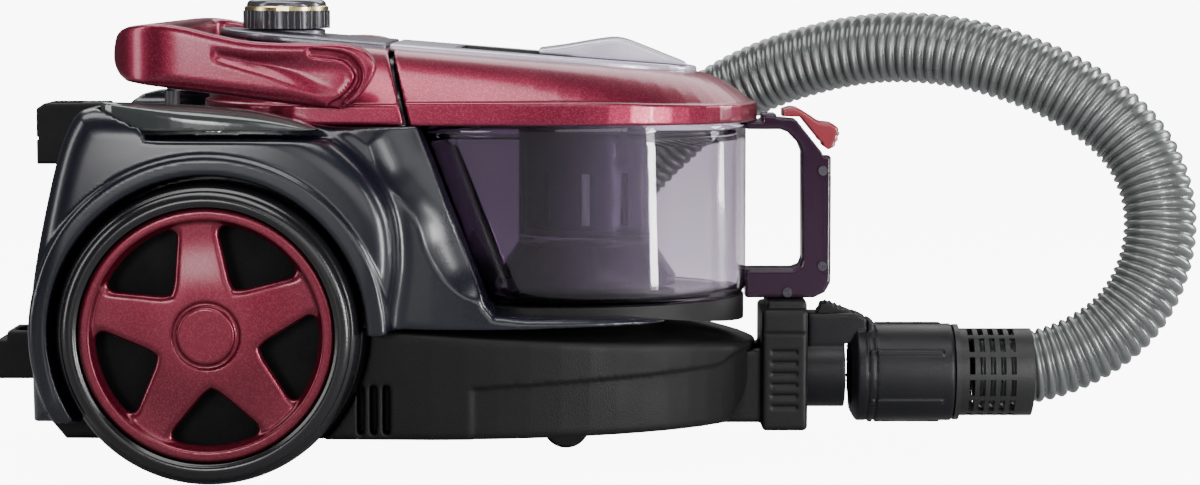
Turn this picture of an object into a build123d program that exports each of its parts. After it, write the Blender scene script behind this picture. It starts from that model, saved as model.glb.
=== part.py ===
from build123d import *
import math
import os

# Canister vacuum cleaner. Millimetres, +X to the front (hose inlet), +Z up, resting on z = 0.

# Driving dimensions
wall = 3.0                      # casing wall
running = 0.05                  # radial clearance of a running fit

wheel_x = -152.5                # rear wheels
wheel_radius = 77.75
wheel_outer_y = 143.0
hub_radius = 64.7
window_radius = 56.5
spoke_count = 5
axle_radius = 5.0
boss_inner_y = 94.0
arch_radius = 80.5
arch_lip_radius = 91.0

body_rear_x = -245.0            # casings
body_rear_top_x = -222.0
body_front_x = 133.0
body_half = 112.0
hull_half = 104.0
fender_half = 138.0
base_z = 20.0
split_z = 77.0
deck_z = 184.5
seat_z = 81.0
nose_mid_x = -40.0

top_plane_z = 215.3             # sloping top surface: its height at X = 0 and its fall
top_slope = 0.0805
panel_thickness = 2.5

pivot_x = -92.0                 # carry handle
pivot_z = 208.0
pivot_radius = 5.0
arm_inner_y = 99.5
arm_outer_y = 117.0

knob_x = -124.3                 # speed knob
knob_radius = 23.6
knob_z = 230.2

bin_front_x = 126.0             # dust bin
bin_mid_x = 22.0
bin_bottom_z = 86.0
bin_top_z = 180.7
rim_z = 181.0
band_top_z = 192.0
lid_front_x = 132.0
seam_x = -49.0
cyclone_x = 38.6
cyclone_radius = 36.7
fin_count = 7

handle_screw_places = [(167.5, 153), (167.5, 101), (148.5, 86.5)]

duct_z = 41.6                   # hose inlet
neck_radius = 19.0
connector_radius = 26.7
cuff_radius = 24.0
hose_radius = 20.0

caster_x = 36.0
caster_trail = 8.3
caster_radius = 13.0

motor_y = -40.0
motor_z = 112.0
reel_y = 52.0
reel_x = -150.0

top_plane = Plane(origin=(0, 0, top_plane_z), x_dir=(1, 0, -top_slope), z_dir=(top_slope, 0, 1))
panel_top_plane = top_plane.offset(panel_thickness)

os.makedirs("parts", exist_ok=True)


def finish(piece, name):
    """Label a finished piece and write its STEP file."""
    piece.part.label = name
    export_step(piece.part, f"parts/{name}.step")


def half_ellipse_outline(flat_x, round_x, mid_x, half, flat_half, corner):
    """Plan outline: a straight end with rounded corners, and a half ellipse at the other end."""
    side = 1 if round_x > flat_x else -1
    with BuildLine() as outline:
        EllipticalCenterArc((mid_x, 0), abs(round_x - mid_x), half, -90 * side, arc_size=180)
        FilletPolyline((mid_x, side * half), (flat_x, side * flat_half),
                       (flat_x, -side * flat_half), (mid_x, -side * half), radius=corner)
    return Face(outline.wires()[0])


# ---------------------------------------------------------------- casings
split_line = [(body_rear_x, split_z), (-70, 77), (-37, 75), (84, 67), (body_front_x, 61)]
rear_lean = (body_rear_top_x - body_rear_x) / (deck_z - split_z)


def rear_x(z):
    """Rear face of the upper casing at a height."""
    return body_rear_x + rear_lean * (z - split_z)


def plan_block(inset, low, high):
    """Block inside the casings' plan outline, pulled in by an inset."""
    outline = half_ellipse_outline(body_rear_x + inset, body_front_x - inset, nose_mid_x,
                                   body_half - inset, hull_half - inset, 34 - inset)
    return extrude(Plane.XY.offset(low) * outline, high - low, mode=Mode.PRIVATE)


hull_block = plan_block(0, base_z, deck_z)
lower_zone = plan_block(-0.1, 0, split_z) & Pos(-170, 0, 0) * Box(200, 300, 300)
inner_block = plan_block(wall, base_z, deck_z)

# The outer line of a fender, from its rear foot over the wheel to the pillar
fender_line = [(-243.5, 84), (-241, 112), (-230, 163), (-219, 190), (-214, 192.5), (-195, 192.5),
               (-150, 190), (-119, 186.5), (-100, 180), (-84, 169.5), (-68, 155), (-58, 141), (-52, 120)]
pedal_outline_x = (-203.0, -96.0)

with BuildPart() as hull_hollow:
    with BuildSketch(Plane.XZ):
        Polygon((body_rear_x + wall, base_z), (body_rear_x + wall, split_z),
                (body_rear_top_x + wall, deck_z - wall), (-54.5, deck_z - wall),
                (-20.5, bin_bottom_z), (-18, seat_z - wall), (59, seat_z - wall),
                (body_front_x - wall, 67.7), (body_front_x - wall, base_z), align=None)
    extrude(amount=body_half, both=True)
    add(inner_block, mode=Mode.INTERSECT)

with BuildPart() as upper_casing:
    with BuildSketch(Plane.XZ):
        Polygon((body_rear_x, split_z), (body_rear_top_x, deck_z), (-52, deck_z), (-17.5, bin_bottom_z),
                (-15, seat_z), (60, seat_z), (body_front_x, 71), *reversed(split_line[1:]), align=None)
    extrude(amount=body_half, both=True)
    add(hull_block, mode=Mode.INTERSECT)
    # fenders over the wheels, each with a lip round its arch
    for side in (-1, 1):
        with BuildSketch(Plane.XZ.offset(-side * (hull_half - wall))):
            Polygon(*fender_line, (-63, 92), align=None)
            with Locations((wheel_x, wheel_radius)):
                Circle(arch_lip_radius)
            with Locations((wheel_x - 20, 0)):
                Rectangle(260, 64, mode=Mode.SUBTRACT)
            with Locations((wheel_x + 92, 38)):
                Rectangle(76, 78, mode=Mode.SUBTRACT)
        extrude(amount=-side * (fender_half - hull_half + wall))
    add(hull_hollow.part, mode=Mode.SUBTRACT)
    add(lower_zone, mode=Mode.SUBTRACT)
    for side in (-1, 1):
        # space inside the fender, open to the hull, under the pedal's floor
        with BuildSketch(Plane.XZ.offset(-side * (hull_half - wall - 1))):
            Polygon((-240, 100), (-226, 163), (-217, 176), (-122, 176), (-100, 168), (-72, 146),
                    (-66, 128), (-70, 100), align=None)
            with Locations((wheel_x, wheel_radius)):
                Circle(arch_radius + wall, mode=Mode.SUBTRACT)
        extrude(amount=-side * (fender_half - hull_half + 1), mode=Mode.SUBTRACT)
        # wheel arch
        with BuildSketch(Plane.XZ.offset(-side * hull_half)):
            with Locations((wheel_x, wheel_radius)):
                Circle(arch_radius)
        extrude(amount=-side * 60, mode=Mode.SUBTRACT)
        # pedal well in the top of the fender
        with BuildSketch(Plane.XY.offset(180)):
            with Locations(((pedal_outline_x[0] + pedal_outline_x[1]) / 2, side * 121)):
                Ellipse(54.5, 14.5)
        extrude(amount=20, mode=Mode.SUBTRACT)
        # axle boss clearance
        with BuildSketch(Plane.XZ.offset(-side * (hull_half - 8))):
            with Locations((wheel_x, wheel_radius)):
                Circle(14.3)
        extrude(amount=-side * 20, mode=Mode.SUBTRACT)
    # air duct from the bin through the pillar
    with BuildSketch(Plane(origin=(-60, 0, 140), x_dir=(0, 1, 0), z_dir=(1, 0, 0))):
        Circle(22)
    extrude(amount=40, mode=Mode.SUBTRACT)
    # cable outlet
    with BuildSketch(Plane(origin=(body_rear_x - 5, 60, 110), x_dir=(0, 1, 0), z_dir=(1, 0, 0))):
        Circle(9)
    extrude(amount=20, mode=Mode.SUBTRACT)
    # clearance for the handle rest posts
    with BuildSketch(Plane.XY.offset(deck_z - 10)):
        with Locations((-174.5, -92), (-174.5, 92)):
            Circle(3.8)
    extrude(amount=20, mode=Mode.SUBTRACT)
finish(upper_casing, "upper_casing")

with BuildPart() as lower_casing:
    with BuildSketch(Plane.XZ):
        Polygon(*[(x, z - 0.1) for x, z in split_line], (131, 46), (124, 32), (116.5, base_z),
                (-232, base_z), (body_rear_x, 38), align=None)
    extrude(amount=body_half, both=True)
    add(hull_block, mode=Mode.INTERSECT)
    with BuildSketch(Plane.XZ):
        Polygon((body_rear_x + wall, 85), (body_rear_x + wall, 40), (-230, base_z + wall),
                (113, base_z + wall), (128, 46), (body_front_x - wall, 85), align=None)
    hollow = extrude(amount=body_half, both=True, mode=Mode.PRIVATE)
    add(hollow & inner_block, mode=Mode.SUBTRACT)
    for side in (-1, 1):
        # wheel well
        with BuildSketch(Plane.XZ.offset(-side * hull_half)):
            with Locations((wheel_x, wheel_radius)):
                Circle(arch_radius)
        extrude(amount=-side * 60, mode=Mode.SUBTRACT)
        # axle boss
        with BuildSketch(Plane.XZ.offset(-side * boss_inner_y)):
            with Locations((wheel_x, wheel_radius)):
                Circle(14)
        extrude(amount=-side * 12)
        with BuildSketch(Plane.XZ.offset(-side * (hull_half - wall - 1))):
            with Locations((wheel_x, 46)):
                Rectangle(70, 50)
        extrude(amount=-side * 4)
        with BuildSketch(Plane.XZ.offset(-side * boss_inner_y)):
            with Locations((wheel_x, wheel_radius)):
                Circle(axle_radius)
        extrude(amount=-side * 20, mode=Mode.SUBTRACT)
        # upright cooling slots in front of the wheel
        for slot in range(3):
            with BuildSketch(Plane.XZ.offset(-side * 95)):
                with Locations((-76.5 + 6.4 * slot, 36)):
                    SlotOverall(24, 3.4, rotation=90)
            extrude(amount=-side * 30, mode=Mode.SUBTRACT)
        # exhaust slots in the rear wall
        for row in range(4):
            with BuildSketch(Plane(origin=(body_rear_x - 5, side * 52, 42 + 8 * row),
                                   x_dir=(0, 1, 0), z_dir=(1, 0, 0))):
                SlotOverall(50, 4)
            extrude(amount=20, mode=Mode.SUBTRACT)
    # caster recess and swivel boss
    with Locations((caster_x, 0, base_z)):
        Cylinder(29, 13, align=(Align.CENTER, Align.CENTER, Align.MIN))
        Cylinder(26, 10, align=(Align.CENTER, Align.CENTER, Align.MIN), mode=Mode.SUBTRACT)
        Cylinder(9, 20, align=(Align.CENTER, Align.CENTER, Align.MIN))
        Cylinder(26, 10, align=(Align.CENTER, Align.CENTER, Align.MIN), mode=Mode.SUBTRACT)
        Cylinder(4 + running, 30, align=(Align.CENTER, Align.CENTER, Align.MIN), mode=Mode.SUBTRACT)
    # opening for the inlet block
    with Locations((125, 0, 37)):
        Box(40, 52.6, 38.6, mode=Mode.SUBTRACT)
    # screw holes in the floor
    with Locations(*[(x, y, base_z) for x in (-205, 85) for y in (-52, 52)]):
        Cylinder(2, 8, mode=Mode.SUBTRACT)
finish(lower_casing, "lower_casing")

with BuildPart() as casing_screws:
    for x in (-205, 85):
        for y in (-52, 52):
            with Locations((x, y, base_z)):
                Cylinder(3.5, 1.4, align=(Align.CENTER, Align.CENTER, Align.MAX))
                Cylinder(1.9, 12, align=(Align.CENTER, Align.CENTER, Align.MIN))
                with Locations((0, 0, -1.4)):
                    Box(4.4, 0.9, 1.2, mode=Mode.SUBTRACT)
                    Box(0.9, 4.4, 1.2, mode=Mode.SUBTRACT)
finish(casing_screws, "casing_screws")

# Red cover over the rear, domed up to the sloping top
with BuildPart() as rear_cover:
    with BuildSketch(Plane.XY.offset(deck_z)):
        add(half_ellipse_outline(seam_x - 2.0, -166, -105, 98, 98, 4))
    extrude(amount=band_top_z + 2 - deck_z)
    with BuildSketch(Plane.XY.offset(band_top_z + 2)):
        add(half_ellipse_outline(seam_x - 2.0, -164.5, -105, 96.5, 96.5, 4))
    with BuildSketch(top_plane):
        add(half_ellipse_outline(-62, -161, -108, 60, 54, 4))
    loft()
    with BuildSketch(Plane.XY.offset(deck_z)):
        add(half_ellipse_outline(seam_x - 5.0, -162, -105, 94, 94, 3))
    with BuildSketch(top_plane.offset(-3)):
        add(half_ellipse_outline(-67, -156, -108, 55, 50, 3))
    loft(mode=Mode.SUBTRACT)
    # bosses that carry the handle's pins
    for side in (-1, 1):
        with BuildSketch(Plane.XZ.offset(-side * 84)):
            with Locations((pivot_x, pivot_z)):
                Circle(11)
        extrude(amount=-side * 14.5)
        with BuildSketch(Plane.XZ.offset(-side * 80)):
            with Locations((pivot_x, pivot_z)):
                Circle(pivot_radius)
        extrude(amount=-side * 30, mode=Mode.SUBTRACT)
    # bore for the knob's stem
    with Locations((knob_x, 0, 220)):
        Cylinder(4 + running, 60, mode=Mode.SUBTRACT)
finish(rear_cover, "rear_cover")

with BuildPart() as top_panel:
    with BuildSketch(top_plane):
        add(half_ellipse_outline(-62.5, -158, -118, 52, 48, 3))
    extrude(amount=panel_thickness)
    with Locations((knob_x, 0, 225)):
        Cylinder(4 + running, 40, mode=Mode.SUBTRACT)
finish(top_panel, "top_panel")

with BuildPart() as handle_rests:
    with BuildSketch(Plane.XY.offset(deck_z - 8)):
        with Locations((-174.5, -92), (-174.5, 92)):
            Circle(3.8)
    extrude(amount=24)
    chamfer(edges().group_by(Axis.Z)[-1], 0.8)
finish(handle_rests, "handle_rests")

# Parking brackets for the floor tool, hung on the rear wall
with BuildPart() as parking_bracket_upper:
    with BuildSketch(Plane.XZ):
        Polygon((-258.5, 157), (-258.5, 188), (-254, 190), (rear_x(184) - 1, 190), (rear_x(184) - 0.1, 184),
                (rear_x(157) - 0.1, 157), align=None)
    extrude(amount=18, both=True)
    with Locations((-244, 0, 178)):
        Box(17, 24, 32, mode=Mode.SUBTRACT)
finish(parking_bracket_upper, "parking_bracket_upper")

with BuildPart() as parking_bracket_lower:
    with BuildSketch(Plane.XZ):
        Polygon((-282.5, 40), (-282.5, 64), (-280.5, 66), (body_rear_x - 0.1, 66),
                (body_rear_x - 0.1, 40), align=None)
    extrude(amount=18, both=True)
    with BuildSketch(Plane.XY.offset(44)):
        with Locations((-265, 0)):
            SlotOverall(25, 17, rotation=90)
    extrude(amount=30, mode=Mode.SUBTRACT)
finish(parking_bracket_lower, "parking_bracket_lower")

with BuildPart() as cable_outlet:
    with BuildSketch(Plane(origin=(-248, 60, 110), x_dir=(0, 1, 0), z_dir=(1, 0, 0))):
        Circle(12)
        Circle(5.5, mode=Mode.SUBTRACT)
    extrude(amount=7)
    with BuildSketch(Plane(origin=(-241, 60, 110), x_dir=(0, 1, 0), z_dir=(1, 0, 0))):
        Circle(9)
        Circle(5.5, mode=Mode.SUBTRACT)
    extrude(amount=12)
    add(upper_casing.part, mode=Mode.SUBTRACT)
finish(cable_outlet, "cable_outlet")

# ---------------------------------------------------------------- rear wheels
first_spoke_angle = 94.5

# The windows between the spokes, about the wheel's centre
with BuildSketch() as windows:
    Circle(window_radius)
    Circle(25, mode=Mode.SUBTRACT)
    with PolarLocations(0, spoke_count, start_angle=first_spoke_angle):
        Polygon((14, -16), (window_radius + 3, -9.3), (window_radius + 3, 9.3), (14, 16),
                align=None, mode=Mode.SUBTRACT)
    fillet(vertices(), 4.5)

for name, side in (("left", -1), ("right", 1)):
    axis_line = Axis((wheel_x, 0, wheel_radius), (0, 1, 0))

    def at(y, radius, side=side):
        """Point of a wheel's turned profile."""
        return (wheel_x + radius, side * y)

    turned = Plane(origin=(0, 0, wheel_radius), x_dir=(1, 0, 0), z_dir=(0, 0, 1))
    with BuildPart() as tyre:
        with BuildSketch(turned):
            with BuildLine():
                Line(at(112, 67), at(109.5, 73))
                Spline(at(109.5, 73), at(112, 76.6), at(119, wheel_radius), at(127, wheel_radius),
                       at(134.5, 76.4), at(138.5, 74), tangents=[(0.3, side * 0.6), (-0.6, side * 0.5)])
                Polyline(at(138.5, 74), at(140, 73.6), at(wheel_outer_y, 68.5), at(wheel_outer_y, 66.4),
                         at(141.5, 65.2), at(112, 65.2), at(112, 67))
            make_face()
        revolve(axis=axis_line)
    finish(tyre, f"tyre_{name}")

    with BuildPart() as wheel_disc:
        with BuildSketch(turned):
            Polygon(at(110, axle_radius + running), at(110, 13), at(113, 16), at(113, 62), at(112.5, 65.1),
                    at(126, 65.1), at(126, 62), at(117, 60), at(117, 16), at(126, 13),
                    at(126, axle_radius + running), align=None)
        revolve(axis=axis_line)
    finish(wheel_disc, f"wheel_disc_{name}")

    with BuildPart() as hub_cap:
        with BuildSketch(Plane.XZ.offset(-side * 131)):
            with Locations((wheel_x, wheel_radius)):
                Circle(hub_radius)
                add(windows.sketch, mode=Mode.SUBTRACT)
        extrude(amount=-side * 8)
        with BuildSketch(Plane.XZ.offset(-side * 126.2)):
            with Locations((wheel_x, wheel_radius)):
                Circle(hub_radius)
                Circle(61.5, mode=Mode.SUBTRACT)
        extrude(amount=-side * 5)
        # raised rim lip and the round centre with its groove
        with BuildSketch(turned):
            Polygon(at(139, 64.6), at(141.3, 64.6), at(141.3, 60.6), at(139, 58.8), align=None)
        revolve(axis=axis_line)
        with BuildSketch(turned):
            Polygon(at(138.0, 17), at(140, 17), at(140, 14.3), at(138.0, 14.3), align=None)
        revolve(axis=axis_line, mode=Mode.SUBTRACT)
        with BuildSketch(turned):
            Polygon(at(139, 0), at(139, 14.2), at(140.2, 13.2), at(141, 0), align=None)
        revolve(axis=axis_line)
        # hollow behind the centre for the axle's head
        with BuildSketch(Plane.XZ.offset(-side * 130)):
            with Locations((wheel_x, wheel_radius)):
                Circle(11)
        extrude(amount=-side * 5, mode=Mode.SUBTRACT)
    finish(hub_cap, f"hub_cap_{name}")

    with BuildPart() as axle:
        with BuildSketch(Plane.XZ.offset(-side * boss_inner_y)):
            with Locations((wheel_x, wheel_radius)):
                Circle(axle_radius)
        extrude(amount=-side * (126.6 - boss_inner_y))
        with BuildSketch(Plane.XZ.offset(-side * 126.6)):
            with Locations((wheel_x, wheel_radius)):
                Circle(8.5)
        extrude(amount=-side * 2.4)
    finish(axle, f"axle_{name}")

# ---------------------------------------------------------------- caster
with BuildPart() as caster_fork:
    with Locations((caster_x, 0, 26.5)):
        Cylinder(13, 3, align=(Align.CENTER, Align.CENTER, Align.MIN))
        Cylinder(4, 20, align=(Align.CENTER, Align.CENTER, Align.MIN))
    with BuildSketch(Plane.XZ.offset(-10.5)):
        Polygon((caster_x + 8, 29.5), (caster_x - 12.5, 29.5), (caster_x - caster_trail - 5, 13),
                (caster_x - caster_trail, 8.5), (caster_x - caster_trail + 5, 13), align=None)
    extrude(amount=2.4)
    with BuildSketch(Plane.XZ.offset(8.1)):
        Polygon((caster_x + 8, 29.5), (caster_x - 12.5, 29.5), (caster_x - caster_trail - 5, 13),
                (caster_x - caster_trail, 8.5), (caster_x - caster_trail + 5, 13), align=None)
    extrude(amount=2.4)
    with BuildSketch(Plane.XY.offset(27.2)):
        with Locations((caster_x - 3, 0)):
            Rectangle(20, 21)
    extrude(amount=2.3)
    with Locations(Location((caster_x - caster_trail, 0, caster_radius), (90, 0, 0))):
        Cylinder(1.5, 30, mode=Mode.SUBTRACT)
finish(caster_fork, "caster_fork")

with BuildPart() as caster_axle:
    with Locations(Location((caster_x - caster_trail, 0, caster_radius), (90, 0, 0))):
        Cylinder(1.5, 22)
finish(caster_axle, "caster_axle")

with BuildPart() as caster_wheel:
    with Locations(Location((caster_x - caster_trail, 0, caster_radius), (90, 0, 0))):
        Cylinder(caster_radius, 14)
        fillet(edges().filter_by(GeomType.CIRCLE), 2.5)
        Cylinder(1.5 + running, 16, mode=Mode.SUBTRACT)
finish(caster_wheel, "caster_wheel")

# ---------------------------------------------------------------- carry handle
with BuildPart() as carry_handle:
    with BuildSketch(Plane.XZ):
        with BuildLine():
            Spline((-203, 204.6), (-209, 215), (-204, 229), (-196, 233), (-178, 232.5))
            Spline((-178, 232.5), (-150, 227), (-115, 224.5), (-86, 223.4), (-70.5, 209.5), (-90, 192.8),
                   tangents=[(1, -0.1), (-1, 0)])
            Line((-90, 192.8), (-203, 204.6))
        make_face()
    extrude(amount=arm_outer_y, both=True)
    with BuildSketch(Plane.XY.offset(180)):
        with Locations((-179 + 75, 0)):
            RectangleRounded(150, 2 * arm_inner_y, 12)
    extrude(amount=80, mode=Mode.SUBTRACT)
    with Locations((-40, 0, 210)):
        Box(80, 2 * arm_inner_y, 60, mode=Mode.SUBTRACT)
    with BuildSketch(Plane.XY.offset(180)):
        with Locations((-209 + 100, 0)):
            RectangleRounded(200, 2 * arm_outer_y, 30)
    extrude(amount=80, mode=Mode.INTERSECT)
    for side in (-1, 1):
        with BuildSketch(Plane.XZ.offset(-side * (arm_inner_y - 1))):
            with Locations((pivot_x, pivot_z)):
                Circle(pivot_radius + running)
        extrude(amount=-side * 12, mode=Mode.SUBTRACT)
finish(carry_handle, "carry_handle")

with BuildPart() as handle_pins:
    for side in (-1, 1):
        with BuildSketch(Plane.XZ.offset(-side * 84)):
            with Locations((pivot_x, pivot_z)):
                Circle(pivot_radius)
        extrude(amount=-side * 25)
finish(handle_pins, "handle_pins")

# ---------------------------------------------------------------- knob
with BuildPart() as knob_drum:
    with Locations((knob_x, 0, knob_z)):
        Cylinder(knob_radius, 9.6, align=(Align.CENTER, Align.CENTER, Align.MIN))
        with PolarLocations(knob_radius + 0.4, 44):
            Cylinder(0.9, 20, mode=Mode.SUBTRACT)
        Cylinder(4, 30, align=(Align.CENTER, Align.CENTER, Align.MAX))
finish(knob_drum, "knob_drum")

with BuildPart() as knob_ring:
    with Locations((knob_x, 0, knob_z + 9.6)):
        Cylinder(knob_radius - 0.8, 2.4, align=(Align.CENTER, Align.CENTER, Align.MIN))
        Cylinder(knob_radius - 3.5, 2.4, align=(Align.CENTER, Align.CENTER, Align.MIN), mode=Mode.SUBTRACT)
    chamfer(edges().group_by(Axis.Z)[-1], 0.5)
    with Locations((knob_x, -knob_radius, knob_z + 11)):
        Box(7, 5, 6, mode=Mode.SUBTRACT)
finish(knob_ring, "knob_ring")

with BuildPart() as knob_cap:
    with Locations((knob_x, 0, knob_z + 9.6)):
        Cylinder(knob_radius - 3.6, 2.4, align=(Align.CENTER, Align.CENTER, Align.MIN))
    with Locations((knob_x, 0, knob_z + 12)):
        Cylinder(knob_radius - 2, 3.4, align=(Align.CENTER, Align.CENTER, Align.MIN))
    fillet(edges().group_by(Axis.Z)[-1], 3)
finish(knob_cap, "knob_cap")

# ---------------------------------------------------------------- foot pedals
pedal_mid_x = sum(pedal_outline_x) / 2
for name, side in (("power", -1), ("rewind", 1)):
    with BuildPart() as pedal:
        with BuildSketch(Plane.XY.offset(186.5)):
            with Locations((pedal_mid_x, side * 121)):
                Ellipse(54.0, 14.0)
        extrude(amount=6.5)
        with BuildSketch(Plane.XZ):
            Polygon((-210, 194), (-90, 188.5), (-90, 199), (-210, 199), align=None)
        extrude(amount=150, both=True, mode=Mode.SUBTRACT)
        with Locations((pedal_mid_x, side * 121, 186.5)):
            Cylinder(3, 2, align=(Align.CENTER, Align.CENTER, Align.MAX))
    finish(pedal, f"{name}_pedal")

    with BuildPart() as pedal_spring:
        with Locations((pedal_mid_x, side * 121, 180.05)):
            Cylinder(5.5, 6.4, align=(Align.CENTER, Align.CENTER, Align.MIN))
            Cylinder(4, 6.4, align=(Align.CENTER, Align.CENTER, Align.MIN), mode=Mode.SUBTRACT)
    finish(pedal_spring, f"{name}_spring")

# ---------------------------------------------------------------- dust bin
with BuildPart() as bin_seat:
    with BuildSketch(Plane.XZ):
        Polygon((-14.4, seat_z + 0.05), (60, seat_z + 0.05), (125, 72.5), (125, 85.6),
                (-14.4, 85.6), align=None)
    extrude(amount=100, both=True)
    seat_outline = Plane.XY.offset(60) * half_ellipse_outline(-14.4, 125, bin_mid_x, 84, 82, 24)
    add(extrude(seat_outline, 40, mode=Mode.PRIVATE), mode=Mode.INTERSECT)
finish(bin_seat, "bin_seat")


def bin_loft(inset, low, high):
    """Solid between two plan outlines of the bin, whose rear wall leans back towards the top."""
    lean = (seam_x + 14) / (bin_top_z - bin_bottom_z)
    outlines = []
    for z in (low, high):
        rear = -14 + lean * (z - bin_bottom_z) + inset
        half = 81 + 7 * (z - bin_bottom_z) / (bin_top_z - bin_bottom_z) - inset
        outline = half_ellipse_outline(rear, bin_front_x - inset, bin_mid_x, half, half - 2, 25 - inset)
        outlines.append(Plane.XY.offset(z) * outline)
    return loft(outlines, mode=Mode.PRIVATE)


with BuildPart() as bin_cup:
    add(bin_loft(0, bin_bottom_z, bin_top_z))
    add(bin_loft(2.4, bin_bottom_z + 2.4, bin_top_z + 1), mode=Mode.SUBTRACT)
    fillet(faces().sort_by(Axis.Z)[0].edges(), 2.0)
    with BuildSketch(Plane(origin=(-60, 0, 140), x_dir=(0, 1, 0), z_dir=(1, 0, 0))):
        Circle(20)
    extrude(amount=40, mode=Mode.SUBTRACT)
finish(bin_cup, "bin_cup")

lid_outline = half_ellipse_outline(seam_x + 0.8, lid_front_x, 0, 96, 96, 4)
with BuildPart() as bin_lid:
    with BuildSketch(Plane.XY.offset(rim_z)):
        add(lid_outline)
    extrude(amount=band_top_z - rim_z)
    with BuildSketch(Plane.XY.offset(band_top_z)):
        add(half_ellipse_outline(seam_x + 0.8, lid_front_x - 1, 0, 95, 95, 4))
    with BuildSketch(top_plane):
        add(half_ellipse_outline(-59.5, 99, 8, 62, 58, 4))
    loft()
    with BuildSketch(Plane.XY.offset(rim_z)):
        add(half_ellipse_outline(seam_x + 4, lid_front_x - 3.5, 0, 92.5, 92.5, 3))
    extrude(amount=band_top_z - rim_z, mode=Mode.SUBTRACT)
    with BuildSketch(Plane.XY.offset(band_top_z)):
        add(half_ellipse_outline(seam_x + 4, lid_front_x - 4.5, 0, 91.5, 91.5, 3))
    with BuildSketch(top_plane.offset(-3)):
        add(half_ellipse_outline(-54, 94, 8, 57, 53, 3))
    loft(mode=Mode.SUBTRACT)
    with Locations(top_plane):
        with Locations((0, 0, 0)):
            Box(62, 66, 20, mode=Mode.SUBTRACT)
finish(bin_lid, "bin_lid")

with BuildPart() as lid_panel:
    with BuildSketch(top_plane):
        add(half_ellipse_outline(-59, 96, 8, 54, 50, 3))
    extrude(amount=panel_thickness)
    with Locations(top_plane):
        with Locations((0, 0, 0)):
            Box(62, 66, 20, mode=Mode.SUBTRACT)
finish(lid_panel, "lid_panel")

# Dark tray in the lid, which gives the fingers room behind the lever
with BuildPart() as lid_tray:
    with Locations(top_plane):
        with Locations((0, 0, panel_thickness)):
            Box(62, 66, 14, align=(Align.CENTER, Align.CENTER, Align.MAX))
            Box(57, 61, 12, align=(Align.CENTER, Align.CENTER, Align.MAX), mode=Mode.SUBTRACT)
finish(lid_tray, "lid_tray")

# Raised grey lever over the tray, hinged at its front end

def above_panel(x, height):
    """Point of the lever's side outline, measured up from the lid panel."""
    return (x, top_plane_z + panel_thickness + 0.1 - top_slope * x + height)


with BuildPart() as lid_lever:
    with BuildSketch(Plane.XZ):
        Polygon(above_panel(14, 2.6), above_panel(54, 10.4), above_panel(61, 10), above_panel(91, 2.2),
                above_panel(93, 0.4), above_panel(36, 0.4), above_panel(36, 1.6), above_panel(50, 7.6),
                above_panel(14, 1.0), align=None)
    extrude(amount=30, both=True)
finish(lid_lever, "lid_lever")

with BuildPart() as bin_seal:
    with BuildSketch(Plane.XY.offset(rim_z + 0.1)):
        add(half_ellipse_outline(seam_x + 4.5, lid_front_x - 6.5, 4, 89, 88, 22))
        add(half_ellipse_outline(seam_x + 8.5, lid_front_x - 12, 4, 83, 82, 18), mode=Mode.SUBTRACT)
    extrude(amount=2.4)
finish(bin_seal, "bin_seal")

with BuildPart() as cyclone_cylinder:
    with BuildSketch(Plane.XY.offset(rim_z + 2.6)):
        add(half_ellipse_outline(seam_x + 4.5, lid_front_x - 6.5, 4, 90, 89, 12))
        with Locations((cyclone_x, 0)):
            Circle(cyclone_radius - 2, mode=Mode.SUBTRACT)
    extrude(amount=3)
    with Locations((cyclone_x, 0, 119)):
        Cylinder(cyclone_radius, rim_z + 2.6 - 119, align=(Align.CENTER, Align.CENTER, Align.MIN))
        Cylinder(cyclone_radius - 2, 80, align=(Align.CENTER, Align.CENTER, Align.MIN), mode=Mode.SUBTRACT)
    # upright air slots round the cylinder
    with Locations((cyclone_x, 0, 139)):
        with PolarLocations(cyclone_radius, 10, start_angle=18):
            Box(8, 4.5, 28, mode=Mode.SUBTRACT)
finish(cyclone_cylinder, "cyclone_cylinder")

with BuildPart() as cyclone_skirt:
    with BuildSketch(Plane.XZ):
        Polygon((cyclone_x, 118.7), (cyclone_x + cyclone_radius, 118.7), (cyclone_x + cyclone_radius, 114),
                (cyclone_x + 49, 96), (cyclone_x + 49, 91.5), (cyclone_x + 46.6, 91.5),
                (cyclone_x + 46.6, 95),
                (cyclone_x + cyclone_radius - 2.5, 112.5), (cyclone_x, 112.5), align=None)
    revolve(axis=Axis((cyclone_x, 0, 0), (0, 0, 1)))
    # fins that stop the dust from swirling back up
    with BuildSketch(Plane.XZ):
        Polygon((cyclone_x + 12, 113), (cyclone_x + 34, 113), (cyclone_x + 45, 95),
                (cyclone_x + 30, 92), align=None)
    blade = extrude(amount=1, both=True, mode=Mode.PRIVATE)
    for turn in range(fin_count):
        add(blade.rotate(Axis((cyclone_x, 0, 0), (0, 0, 1)), 20 + 360 / fin_count * turn))
finish(cyclone_skirt, "cyclone_skirt")

with BuildPart() as mesh_filter:
    with Locations((cyclone_x, 0, 122)):
        Cylinder(32, 58, align=(Align.CENTER, Align.CENTER, Align.MIN))
        Cylinder(30, 58, align=(Align.CENTER, Align.CENTER, Align.MIN), mode=Mode.SUBTRACT)
finish(mesh_filter, "mesh_filter")

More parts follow.
